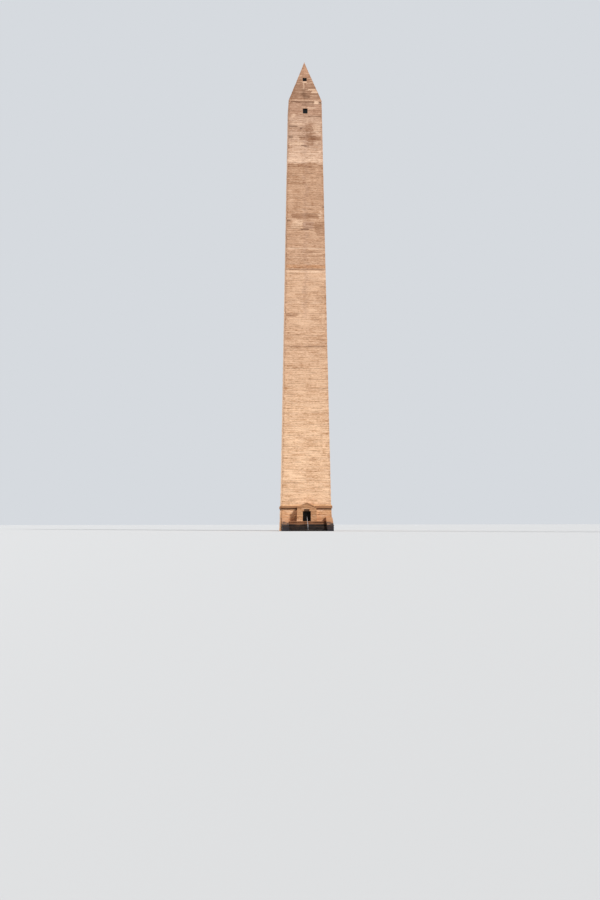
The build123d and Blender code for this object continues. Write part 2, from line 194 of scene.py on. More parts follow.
@dataclass(frozen=True)
class PourRelief:
    """How far form boards, pauses in the pour and weather sink a concrete face.

    Boards are counted down from the shoulder, so that every piece shares the same joints. The
    skin is the least depth. A step is how far boards or lifts stand apart, and a depth is how deep
    the joint between them is. Chips are deepest beside a joint and thin out over their reach.
    """

    shoulder: float
    board: float = 0.048768
    boards_a_lift: int = 5
    joint_half: float = 0.0025
    skin: float = 0.0004
    board_step: float = 0.0036
    lift_step: float = 0.0018
    joint_depth: float = 0.0018
    lift_depth: float = 0.0036
    joint_swing: float = 2.0
    joint_filled: float = 0.7
    wave: float = 0.0012
    chip: float = 0.0042
    chip_at_joint: float = 1.1
    chip_reach: float = 0.012
    chip_range: tuple[float, float] = (0.58, 0.85)
    arris: float = 0.004
    arris_width: float = 0.007
    arris_least: float = 0.25
    arris_swing: float = 0.5
    arris_break_range: tuple[float, float] = (0.55, 0.95)
    scars: tuple[Scar, ...] = ()
    board_noise: NoiseField = NoiseField((0.26, 0.26, 0.61), 11)
    lift_noise: NoiseField = NoiseField((0.9, 0.9, 0.57), 12)
    joint_noise: NoiseField = NoiseField((0.11, 0.11, 0.53), 13)
    wave_noise: NoiseField = NoiseField((0.21, 0.21, 0.09), 14)
    chip_noise: NoiseField = NoiseField((0.05, 0.05, 0.016), 15)
    arris_noise: NoiseField = NoiseField((0.05, 0.05, 0.03), 16)
    arris_breaks: NoiseField = NoiseField((0.4, 0.4, 0.07), 17)

    def levels(self, low: float, high: float) -> list[float]:
        """Heights at which a face is cut so that its joints have sides and a root.

        Args:
            low: The face's foot.
            high: The face's head.

        Returns:
            The heights between them, rising.
        """
        clearance = self.joint_half / 5
        first = math.floor((self.shoulder - high) / self.board)
        last = math.ceil((self.shoulder - low) / self.board)
        offsets = (-self.joint_half, 0.0, self.joint_half, self.board / 2)
        joints = [self.shoulder - number * self.board for number in range(first, last + 1)]
        found = sorted(joint + offset for joint in joints for offset in offsets)
        return [level for level in found if low + clearance < level < high - clearance]

    def board_face(self, points: np.ndarray, number: np.ndarray) -> np.ndarray:
        """How far each board and each lift stands back, changing slowly along the face.

        Args:
            points: Three coordinates a point.
            number: The board that each point belongs to, counted down.

        Returns:
            One depth a point.
        """
        along = np.column_stack((points[:, :2], number * 1.0))
        lift = np.column_stack((points[:, :2], np.floor(number / self.boards_a_lift)))
        boards = self.board_step * self.board_noise.at(along)
        return boards + self.lift_step * self.lift_noise.at(lift)

    def inset(self, points: np.ndarray) -> np.ndarray:
        """How far the weathered face lies below the plain one.

        Args:
            points: Three coordinates a point, on the plain face.

        Returns:
            One depth a point.
        """
        count = (self.shoulder - points[:, 2]) / self.board
        nearest = np.round(count)
        gap = np.abs(count - nearest) * self.board
        joint = 1 - np.clip(gap / self.joint_half, 0, 1)
        past_joint = 1e-3
        upper = self.board_face(points, np.floor(count - past_joint))
        lower = self.board_face(points, np.floor(count + past_joint))
        along = np.column_stack((points[:, :2], nearest))
        is_lift = nearest % self.boards_a_lift == 0
        ragged = self.joint_noise.at(along) * self.joint_swing - self.joint_filled
        groove = joint * np.where(is_lift, self.lift_depth, self.joint_depth) * ragged
        wave = self.wave * self.wave_noise.at(points)
        broken = ease(self.chip_noise.at(points), *self.chip_range)
        thinned = self.chip_at_joint - np.clip(gap / self.chip_reach, 0, 1)
        chips = self.chip * broken * thinned
        total = self.skin + (upper + lower) / 2 + groove + wave + chips
        for scar in self.scars:
            total += scar.inset(points)
        return np.maximum(total, 0)

    def worn_arris(self, points: np.ndarray, distance: np.ndarray) -> np.ndarray:
        """Wear along an outer corner.

        Args:
            points: Three coordinates a point.
            distance: How far each point lies from the corner.

        Returns:
            One depth a point.
        """
        near = 1 - np.clip(distance / self.arris_width, 0, 1)
        small = self.arris_swing * self.arris_noise.at(points)
        large = ease(self.arris_breaks.at(points), *self.arris_break_range)
        return self.arris * near * (self.arris_least + small + large)


@dataclass(frozen=True)
class Taper:
    """Half the width of a square, tapering part of the tower at each height.

    Relief moves what lies within the skin's depth, and in full only near the face.
    """

    levels: tuple[float, ...]
    halves: tuple[float, ...]
    skin_depth: float = 0.02
    full_share: float = 0.2
    most_inset: float = 0.2

    @classmethod
    def of_nodes(cls, *nodes: str) -> "Taper":
        """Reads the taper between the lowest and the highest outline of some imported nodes.

        Args:
            *nodes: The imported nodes, which share one taper.

        Returns:
            The taper.
        """
        points = np.concatenate([node_points(node) for node in nodes])
        ends = (points[:, 2].min(), points[:, 2].max())
        at_ends = [np.abs(points[:, 2] - end) < WELD_DISTANCE for end in ends]
        return cls(ends, tuple(np.abs(points[here, :2]).max() for here in at_ends))

    def half(self, heights: np.ndarray) -> np.ndarray:
        """Half the width at each height."""
        return np.interp(heights, self.levels, self.halves)

    def weathered(self, points: np.ndarray, relief: PourRelief) -> np.ndarray:
        """Draws the outer skin towards the axis by the relief, and leaves the rest.

        Args:
            points: Three coordinates a point.
            relief: The relief to press in.

        Returns:
            The moved points.
        """
        flat = np.abs(points[:, :2])
        half = np.maximum(self.half(points[:, 2]), self.skin_depth)
        from_skin = half - flat.max(axis=1)
        outer = 1 - ease(from_skin, self.full_share * self.skin_depth, self.skin_depth)
        from_arris = flat.max(axis=1) - flat.min(axis=1)
        inset = relief.inset(points) + relief.worn_arris(points, from_arris)
        share = 1 - outer * np.minimum(inset / half, self.most_inset)
        return np.column_stack((points[:, :2] * share[:, None], points[:, 2]))


def node_points(node: str) -> np.ndarray:
    """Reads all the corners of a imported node.

    Args:
        node: The node's name.

    Returns:
        Three coordinates a row.
    """
    vertices = frame["nodes"][node].data.vertices
    points = np.empty(len(vertices) * 3)
    vertices.foreach_get("co", points)
    return points.reshape(-1, 3)


def node_shape(node: str) -> bmesh.types.BMesh:
    """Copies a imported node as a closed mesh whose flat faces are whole.

    Args:
        node: The node's name.

    Returns:
        A new mesh that the caller finishes.
    """
    shape = bmesh.new()
    shape.from_mesh(frame["nodes"][node].data)
    bmesh.ops.remove_doubles(shape, verts=shape.verts, dist=WELD_DISTANCE)
    bmesh.ops.dissolve_limit(shape, angle_limit=FLAT_ANGLE, verts=shape.verts, edges=shape.edges)
    return shape


def soften_edges(shape: bmesh.types.BMesh, width: float, segments: int = 2) -> None:
    """Rounds every sharp edge.

    Args:
        shape: The mesh to change.
        width: How far the rounding reaches from the edge.
        segments: Faces across the rounding.
    """
    sharp = [e for e in shape.edges if e.is_manifold and e.calc_face_angle(0.0) > SHARP_ANGLE]
    bmesh.ops.bevel(
        shape,
        geom=sharp,
        offset=width,
        segments=segments,
        profile=0.6,
        affect="EDGES",
        clamp_overlap=True,
    )


def cut_across(shape: bmesh.types.BMesh, axis: int, levels: Iterable[float]) -> None:
    """Cuts the faces where flat planes cross them.

    Args:
        shape: The mesh to change.
        axis: The axis that the planes stand square to, 0 to 2.
        levels: The planes' places along it.
    """
    normal = Vector([float(axis == number) for number in range(3)])
    for level in levels:
        geometry = [*shape.verts, *shape.edges, *shape.faces]
        bmesh.ops.bisect_plane(
            shape, geom=geometry, dist=WELD_DISTANCE / 5, plane_co=normal * level, plane_no=normal
        )


def put_in_order(shape: bmesh.types.BMesh) -> None:
    """Orders corners and faces by their places, so that each run gives the same mesh.

    Args:
        shape: The mesh to change.
    """
    corners = sorted(shape.verts, key=lambda corner: tuple(corner.co))
    faces = sorted(shape.faces, key=lambda face: tuple(face.calc_center_median()))
    for elements in (corners, faces):
        for number, element in enumerate(elements):
            element.index = number
    shape.verts.sort()
    shape.faces.sort()


def finished_mesh(shape: bmesh.types.BMesh, name: str) -> bpy.types.Mesh:
    """Turns a working mesh into smooth-shaded mesh data with crisp corners.

    Args:
        shape: The working mesh, which is freed.
        name: The mesh's name.

    Returns:
        The mesh data.
    """
    bmesh.ops.recalc_face_normals(shape, faces=shape.faces)
    put_in_order(shape)
    mesh = bpy.data.meshes.new(name)
    shape.to_mesh(mesh)
    shape.free()
    mesh.polygons.foreach_set("use_smooth", [True] * len(mesh.polygons))
    mesh.set_sharp_from_angle(angle=SMOOTH_ANGLE)
    return mesh


def lathe(
    shape: bmesh.types.BMesh, foot: Vector, outline: Sequence[tuple[float, float]], segments: int
) -> None:
    """Adds a turned solid that stands upright.

    Args:
        shape: The mesh to add to.
        foot: The point that the outline is measured from.
        outline: Radius and height of each ring, from below to above.
        segments: Corners in a ring.
    """
    rings = []
    for radius, height in outline:
        angles = [2 * math.pi * number / segments for number in range(segments)]
        spots = [Vector((radius * math.cos(a), radius * math.sin(a), height)) for a in angles]
        rings.append([shape.verts.new(foot + spot) for spot in spots])
    for low, high in zip(rings, rings[1:]):
        for number in range(segments):
            after = (number + 1) % segments
            shape.faces.new((low[number], low[after], high[after], high[number]))
    shape.faces.new(rings[0][::-1])
    shape.faces.new(rings[-1])


@dataclass(frozen=True)
class Wire:
    """One value in a shader graph, which arithmetic carries on with more nodes."""

    graph: "Graph"
    socket: bpy.types.NodeSocket

    def __add__(self, other: "Feed") -> "Wire":
        """The sum."""
        return self.graph.math("ADD", self, other)

    def __radd__(self, other: "Feed") -> "Wire":
        """The sum, with the plain number first."""
        return self.graph.math("ADD", other, self)

    def __sub__(self, other: "Feed") -> "Wire":
        """The difference."""
        return self.graph.math("SUBTRACT", self, other)

    def __rsub__(self, other: "Feed") -> "Wire":
        """The difference, with the plain number first."""
        return self.graph.math("SUBTRACT", other, self)

    def __mul__(self, other: "Feed") -> "Wire":
        """The product."""
        return self.graph.math("MULTIPLY", self, other)

    def __truediv__(self, other: "Feed") -> "Wire":
        """The quotient."""
        return self.graph.math("DIVIDE", self, other)

    def __abs__(self) -> "Wire":
        """The value without its sign."""
        return self.graph.math("ABSOLUTE", self)

    def step(self, low: "Feed", high: "Feed") -> "Wire":
        """A smooth step.

        Args:
            low: Where the step is still 0.
            high: Where the step has reached 1.

        Returns:
            A share from 0 to 1.
        """
        feeds = {"Value": self, "From Min": low, "From Max": high}
        made = self.graph.node("ShaderNodeMapRange", feeds, interpolation_type="SMOOTHSTEP")
        return Wire(self.graph, made.outputs["Result"])


Feed = Wire | float | tuple[float, ...]


class MixSocket(IntEnum):
    """A Mix node's sockets for colours, by number because their names occur more than once."""

    FACTOR = 0
    FIRST = 6
    SECOND = 7
    RESULT = 2


class Graph:
    """Writes shader nodes into one tree."""

    def __init__(self, tree: bpy.types.NodeTree) -> None:
        """Starts writing into a tree."""
        self.tree = tree

    def feed(self, socket: bpy.types.NodeSocket, value: Feed) -> None:
        """Links a wire to a socket, or sets its plain value.

        Args:
            socket: The input to feed.
            value: The wire or the plain value.
        """
        if isinstance(value, Wire):
            self.tree.links.new(value.socket, socket)
        else:
            socket.default_value = value

    def node(self, kind: str, feeds: dict[str | int, Feed], **settings: object) -> bpy.types.Node:
        """Adds a node.

        Args:
            kind: The node's type.
            feeds: What each input takes, by its name or number.
            **settings: Properties of the node.

        Returns:
            The node.
        """
        made = self.tree.nodes.new(kind)
        for name, value in settings.items():
            setattr(made, name, value)
        for key, value in feeds.items():
            self.feed(made.inputs[key], value)
        return made

    def math(self, operation: str, *values: Feed) -> Wire:
        """Does one sum on plain numbers or wires.

        Args:
            operation: The operation's name.
            *values: What it works on, in order.

        Returns:
            The result.
        """
        made = self.node("ShaderNodeMath", dict(enumerate(values)), operation=operation)
        return Wire(self, made.outputs[0])

    def vector(self, x: Feed, y: Feed, z: Feed) -> Wire:
        """Joins three values into a vector."""
        return Wire(self, self.node("ShaderNodeCombineXYZ", {0: x, 1: y, 2: z}).outputs[0])

    def stretched(self, vector: Feed, amounts: tuple[float, float, float]) -> Wire:
        """Multiplies a vector, axis by axis."""
        made = self.node("ShaderNodeVectorMath", {0: vector, 1: amounts}, operation="MULTIPLY")
        return Wire(self, made.outputs[0])

    def object_point(self) -> Wire:
        """The place on the piece in the frame at rest."""
        return Wire(self, self.node("ShaderNodeTexCoord", {}).outputs["Object"])

    def noise(self, vector: Feed, scale: Feed, detail: float = 2.0, rough: float = 0.5) -> Wire:
        """Cloudy noise.

        Args:
            vector: Where to read it.
            scale: Clouds to the metre.
            detail: Octaves of finer clouds.
            rough: How strong the finer clouds are.

        Returns:
            A value round one half.
        """
        feeds = {"Vector": vector, "Scale": scale, "Detail": detail, "Roughness": rough}
        return Wire(self, self.node("ShaderNodeTexNoise", feeds).outputs[0])

    def chance(self, number: Feed) -> Wire:
        """An even random value from 0 to 1 that belongs to a whole number."""
        made = self.node("ShaderNodeTexWhiteNoise", {"W": number}, noise_dimensions="1D")
        return Wire(self, made.outputs["Value"])

    def blend(self, share: Feed, first: Feed, second: Feed) -> Wire:
        """Goes from one colour to another.

        Args:
            share: How much of the second shows.
            first: The colour at 0.
            second: The colour at 1.

        Returns:
            The blended colour.
        """
        made = self.node("ShaderNodeMix", {}, data_type="RGBA", clamp_factor=True)
        self.feed(made.inputs[MixSocket.FACTOR], share)
        self.feed(made.inputs[MixSocket.FIRST], first)
        self.feed(made.inputs[MixSocket.SECOND], second)
        return Wire(self, made.outputs[MixSocket.RESULT])

    def lit(self, color: Feed, amount: Feed) -> Wire:
        """Makes a colour lighter or darker by a factor."""
        made = self.node("ShaderNodeVectorMath", {0: color, "Scale": amount}, operation="SCALE")
        return Wire(self, made.outputs[0])

    def toned(self, color: Feed, change: Wire, shares: tuple[float, float, float]) -> Wire:
        """Makes a colour lighter and paler, or darker and warmer.

        Args:
            color: The colour to change.
            change: How much lighter it becomes, below 0 for darker.
            shares: How much of the change red, green and blue take.

        Returns:
            The changed colour.
        """
        factor = self.node(
            "ShaderNodeVectorMath",
            {0: shares, 1: self.vector(change, change, change), 2: (1.0, 1.0, 1.0)},
            operation="MULTIPLY_ADD",
        )
        feeds = {0: color, 1: Wire(self, factor.outputs[0])}
        return Wire(self, self.node("ShaderNodeVectorMath", feeds, operation="MULTIPLY").outputs[0])

    def ramp(self, value: Feed, stops: Sequence[tuple[float, Color]]) -> Wire:
        """Looks a colour up on a straight scale.

        Args:
            value: The place on the scale, from 0 to 1.
            stops: Places and their colours, rising.

        Returns:
            The colour.
        """
        made = self.node("ShaderNodeValToRGB", {0: value})
        elements = made.color_ramp.elements
        elements.remove(elements[1])
        elements[0].position, elements[0].color = stops[0]
        for place, color in stops[1:]:
            elements.new(place).color = color
        return Wire(self, made.outputs["Color"])

    def bump(self, height: Wire, distance: float, strength: float) -> Wire:
        """Tilts the normal by a height that is too fine for the mesh.

        Args:
            height: The height, round 0 to 1.
            distance: What a height of 1 measures.
            strength: How much of it shows.

        Returns:
            The normal.
        """
        feeds = {"Height": height, "Distance": distance, "Strength": strength}
        return Wire(self, self.node("ShaderNodeBump", feeds).outputs["Normal"])

    def effect(self, tree: bpy.types.NodeTree, **feeds: Feed) -> dict[str, Wire]:
        """Places a shared effect.

        Args:
            tree: The effect's node group.
            **feeds: What its inputs take, with underscores for the spaces in their names.

        Returns:
            Its outputs by name.
        """
        made = self.tree.nodes.new("ShaderNodeGroup")
        made.node_tree = tree
        for name, value in feeds.items():
            self.feed(made.inputs[name.replace("_", " ")], value)
        return {output.name: Wire(self, output) for output in made.outputs}


class EffectGraph(Graph):
    """A node group with named inputs and outputs, while it is written."""

    def __init__(self, name: str, inputs: dict[str, Feed], outputs: Sequence[str]) -> None:
        """Makes the group's sockets.

        Args:
            name: The group's name.
            inputs: Each input's name and plain value, where three numbers are a vector.
            outputs: Each output's name.
        """
        super().__init__(bpy.data.node_groups.new(name, "ShaderNodeTree"))
        for label, value in inputs.items():
            kind = "NodeSocketVector" if isinstance(value, tuple) else "NodeSocketFloat"
            socket = self.tree.interface.new_socket(name=label, in_out="INPUT", socket_type=kind)
            socket.default_value = value
        for label in outputs:
            self.tree.interface.new_socket(
                name=label, in_out="OUTPUT", socket_type="NodeSocketFloat"
            )
        self.entry = self.tree.nodes.new("NodeGroupInput")
        self.way_out = self.tree.nodes.new("NodeGroupOutput")

    def taken(self, label: str) -> Wire:
        """What an input brings in."""
        return Wire(self, self.entry.outputs[label])

    def give(self, label: str, value: Wire) -> None:
        """Sends a value to an output."""
        self.feed(self.way_out.inputs[label], value)


class Effect(Enum):
    """The effects that more than one material uses."""

    SIDES = "side coordinates"
    COURSES = "board courses"
    GRAIN = "cement grain"
    RUNS = "rain runs"
    PATCH = "surface patch"
    EDGES = "edge wear"
    DUST = "settled dust"


class EffectLibrary:
    """Builds each shared effect once and hands it out."""

    def __init__(self) -> None:
        """Builds all the effects."""
        self.trees = {
            Effect.SIDES: self.sides(),
            Effect.COURSES: self.courses(),
            Effect.GRAIN: self.grain(),
            Effect.RUNS: self.runs(),
            Effect.PATCH: self.patch(),
            Effect.EDGES: self.edges(),
            Effect.DUST: self.dust(),
        }

    def __getitem__(self, effect: Effect) -> bpy.types.NodeTree:
        """The node group of an effect."""
        return self.trees[effect]

    @staticmethod
    def sides() -> bpy.types.NodeTree:
        """Tells the four sides apart and measures across each of them.

        Returns:
            A group that gives the distance across, the side from 0 at the front to 3, the height
            and the distance from the nearest corner of a square plan.
        """
        outputs = ("Across", "Face", "Height", "Corner")
        group = EffectGraph(Effect.SIDES.value, {"Point": (0.0, 0.0, 0.0)}, outputs)
        split = group.node("ShaderNodeSeparateXYZ", {0: group.taken("Point")})
        x, y, z = (Wire(group, output) for output in split.outputs)
        along_y = group.math("GREATER_THAN", abs(y), abs(x))
        sign_x = group.math("SIGN", x)
        sign_y = group.math("SIGN", y)
        group.give("Across", (1 - along_y) * sign_x * y - along_y * sign_y * x)
        group.give("Face", along_y * (1 + sign_y) + (1 - along_y) * (2 - sign_x))
        group.give("Height", z)
        group.give("Corner", abs(abs(x) - abs(y)))
        return group.tree

    @staticmethod
    def courses() -> bpy.types.NodeTree:
        """Marks each board course and lift of the pour.

        The factors on the side and on a board's or joint's number only move each of them to a part
        of the noise of its own.

        Returns:
            A group that gives each board's number, tones, and masks of dark and limed places.
        """
        inputs = {
            "Across": 0.0,
            "Face": 0.0,
            "Height": 0.0,
            "Shoulder": 9.6,
            "Board": 0.05,
            "Lift Boards": 5.0,
            "Joint": 0.009,
        }
        outputs = (
            "Number",
            "Board Tone",
            "Lift Tone",
            "Streak Tone",
            "Joint Mask",
            "Lime Mask",
            "Soot Mask",
        )
        group = EffectGraph(Effect.COURSES.value, inputs, outputs)
        across, face, height = (group.taken(label) for label in ("Across", "Face", "Height"))
        board = group.taken("Board")
        spot = group.vector(across, face * 3.1, height)
        most_waver = 0.004
        waver = (group.noise(spot, 5.0, 3.0) - 0.5) * most_waver
        count = (group.taken("Shoulder") - height + waver) / board
        number = group.math("FLOOR", count)
        part = count - number
        lifts = count / group.taken("Lift Boards")
        lift_number = group.math("FLOOR", lifts)
        lift_part = lifts - lift_number
        row = group.vector(across, face * 7.3 + number * 1.7, number * 0.9)
        group.give("Number", number)

        # Each board and each lift has a tone of its own besides the clouds along it.
        board_swing, lift_swing = 0.15, 0.18
        own = (group.chance(number * 1.9 + face * 37.0) - 0.5) * board_swing
        group.give("Board Tone", group.noise(row, 3.6, 3.0, 0.6) + own)
        lift_row = group.vector(across, face * 5.9 + lift_number * 2.3, 0.5)
        lift_own = (group.chance(lift_number * 3.7 + face * 29.0) - 0.5) * lift_swing
        group.give("Lift Tone", group.noise(lift_row, 1.6, 2.0) + lift_own)

        # Long and short streaks follow the boards' grain.
        streak = group.vector(across * 3.4, face * 4.1, height * 68.0)
        short = group.vector(across * 17.0, face * 2.7, height * 100.0)
        long_streak = group.noise(streak, 1.0, 5.0, 0.72) * 0.6
        group.give("Streak Tone", long_streak + group.noise(short, 1.0, 5.0, 0.7) * 0.6 - 0.1)

        # Soot gathers low on some boards.
        dash = group.noise(group.stretched(row, (1.0, 1.7, 2.3)), 3.6, 3.0, 0.65)
        sooty = group.chance(number * 2.3 + face * 53.0).step(0.2, 0.75)
        group.give("Soot Mask", dash.step(0.48, 0.66) * part.step(0.1, 0.7) * sooty)

        # Some joints are open, and those between lifts are wider.
        joint = group.math("FLOOR", count + 0.5)
        broken = group.noise(group.vector(across, joint * 3.3, face * 9.1), 6.5, 4.0, 0.7)
        gap = group.math("MINIMUM", part, 1 - part) * board
        lift_gap = group.math("MINIMUM", lift_part, 1 - lift_part) * board
        lift_gap = lift_gap * group.taken("Lift Boards")
        width = group.taken("Joint")
        open_joint = group.chance(joint * 1.3 + face * 71.0).step(0.3, 0.8)
        thin = (1 - gap.step(0.0, width)) * broken.step(0.45, 0.58) * open_joint
        wide = (1 - lift_gap.step(0.0, width * 2.0)) * broken.step(0.3, 0.55) * 0.5
        group.give("Joint Mask", group.math("MAXIMUM", thin, wide))

        # Lime comes out under some joints, and the upper part of clean boards is pale.
        limed = group.chance(number + face * 131.0).step(0.6, 0.85)
        lime_break = group.noise(group.vector(across, number * 5.1, face * 3.3), 4.5, 4.0, 0.7)
        band = (1 - (part * board).step(0.006, 0.02)) * lime_break.step(0.47, 0.6)
        pale = (1 - dash.step(0.35, 0.5)) * (1 - part.step(0.3, 0.8)) * (1 - sooty)
        group.give("Lime Mask", group.math("MAXIMUM", limed * band, pale * 0.8))
        return group.tree

    @staticmethod
    def grain() -> bpy.types.NodeTree:
        """The clouds, sand and pinholes of a cast surface.

        Returns:
            A group that gives a cloudy tone, the sand's tone, pits and a fine height.
        """
        inputs = {"Point": (0.0, 0.0, 0.0), "Clouds": 9.0, "Sand": 420.0, "Pits": 310.0}
        outputs = ("Tone", "Sand Tone", "Pit Mask", "Height")
        group = EffectGraph(Effect.GRAIN.value, inputs, outputs)
        point = group.taken("Point")
        clouds = group.noise(point, group.taken("Clouds"), 5.0, 0.62)
        sand = group.noise(point, group.taken("Sand"), 4.0, 0.75)
        holes = group.noise(point, group.taken("Pits"), 1.0, 0.4)
        clusters = group.noise(point, group.taken("Pits") * 0.09, 2.0, 0.6)
        pits = holes.step(0.65, 0.78) * clusters.step(0.47, 0.66)
        lumps = group.noise(point, group.taken("Sand") * 0.14, 3.0, 0.6)
        group.give("Tone", clouds)
        group.give("Sand Tone", sand)
        group.give("Pit Mask", pits)
        group.give("Height", sand * 0.4 + lumps * 1.4 - pits * 0.8)
        return group.tree

    @staticmethod
    def runs() -> bpy.types.NodeTree:
        """Runs that rain draws down a face.

        Returns:
            A group that gives one mask, drawn out downwards.
        """
        inputs = {"Across": 0.0, "Face": 0.0, "Height": 0.0, "Narrow": 34.0, "Long": 1.3}
        group = EffectGraph(Effect.RUNS.value, inputs, ("Mask",))
        across = group.taken("Across") * group.taken("Narrow")
        down = group.taken("Height") * group.taken("Long")
        spot = group.vector(across, down, group.taken("Face") * 4.7)
        fine = group.noise(spot, 1.0, 3.0, 0.6).step(0.52, 0.74)
        patchy = group.noise(group.stretched(spot, (0.12, 0.7, 1.0)), 1.0, 2.0).step(0.42, 0.62)
        group.give("Mask", fine * patchy)
        return group.tree

    @staticmethod
    def patch() -> bpy.types.NodeTree:
        """One stained, bleached or painted-shade place with soft sides.

        Returns:
            A group that gives the mask of a box on a side.
        """
        inputs = {
            "Across": 0.0,
            "Height": 0.0,
            "Left": -1.0,
            "Right": 1.0,
            "Low": 0.0,
            "High": 1.0,
            "Soft": 0.02,
            "Soft Ends": 0.02,
        }
        group = EffectGraph(Effect.PATCH.value, inputs, ("Mask",))
        across, height = group.taken("Across"), group.taken("Height")
        soft, ends = group.taken("Soft"), group.taken("Soft Ends")
        left = (across - group.taken("Left")).step(0.0, soft)
        right = (group.taken("Right") - across).step(0.0, soft)
        low = (height - group.taken("Low")).step(0.0, ends)
        high = (group.taken("High") - height).step(0.0, ends)
        group.give("Mask", left * right * low * high)
        return group.tree

    @staticmethod
    def edges() -> bpy.types.NodeTree:
        """Finds edges and corners, broken up as wear is.

        Returns:
            A group that gives one mask.
        """
        inputs = {"Point": (0.0, 0.0, 0.0), "Radius": 0.004, "Breakup": 60.0}
        group = EffectGraph(Effect.EDGES.value, inputs, ("Mask",))
        bevel = group.node("ShaderNodeBevel", {"Radius": group.taken("Radius")}, samples=4)
        geometry = group.node("ShaderNodeNewGeometry", {})
        normals = {0: Wire(group, bevel.outputs[0]), 1: Wire(group, geometry.outputs["Normal"])}
        dot = group.node("ShaderNodeVectorMath", normals, operation="DOT_PRODUCT")
        turned = (1 - Wire(group, dot.outputs["Value"])).step(0.01, 0.16)
        cloud = group.noise(group.taken("Point"), group.taken("Breakup"), 3.0, 0.6)
        group.give("Mask", turned * cloud.step(0.35, 0.6))
        return group.tree

    @staticmethod
    def dust() -> bpy.types.NodeTree:
        """Finds faces that look up, where dust and rain settle.

        Returns:
            A group that gives one mask.
        """
        inputs = {"Point": (0.0, 0.0, 0.0), "Breakup": 14.0}
        group = EffectGraph(Effect.DUST.value, inputs, ("Mask",))
        geometry = group.node("ShaderNodeNewGeometry", {})
        split = group.node("ShaderNodeSeparateXYZ", {0: Wire(group, geometry.outputs["Normal"])})
        upward = Wire(group, split.outputs["Z"]).step(0.35, 0.8)
        cloud = group.noise(group.taken("Point"), group.taken("Breakup"), 4.0, 0.6)
        group.give("Mask", upward * (0.55 + cloud.step(0.3, 0.7) * 0.45))
        return group.tree


class Stain(Enum):
    """The tones that weather leaves on the concrete. Soot and char also serve as painted shade
    under the belt course, in the window recesses and on the stair.
    """

    SOOT_AND_SHADE = display_color(112, 78, 57)
    LIME = display_color(240, 203, 172)
    UMBER = display_color(148, 102, 72)
    RUST = display_color(196, 134, 84)
    SLATE = display_color(180, 142, 120)
    CHAR_AND_SHADE = display_color(34, 27, 23)


@dataclass(frozen=True)
class Patch:
    """A stained, bleached or painted-shade place, measured across the face and up from the ground.

    An anchored patch lies at the same height on all four sides. Any other one is repeated on the
    other sides at heights of their own. The wobble is how ragged a patch is. One without wobble
    follows a built edge, so it is anchored too, and lies over all else.
    """

    stain: Stain
    across: tuple[float, float]
    heights: tuple[float, float]
    share: float
    soft: float = 0.03
    anchored: bool = False
    wobble: float = 1.0


WHOLE_WIDTH = (-0.7, 0.7)

# Near-black boxes over the window openings and their reveals: painted shade in the deep recesses.
WINDOW_RECESS_SHADE = (
    Patch(Stain.CHAR_AND_SHADE, (-0.054, 0.054), (9.291, 9.409), 0.96, soft=0.002, wobble=0.0),
    Patch(Stain.CHAR_AND_SHADE, (-0.048, 0.048), (10.144, 10.242), 0.96, soft=0.002, wobble=0.0),
)

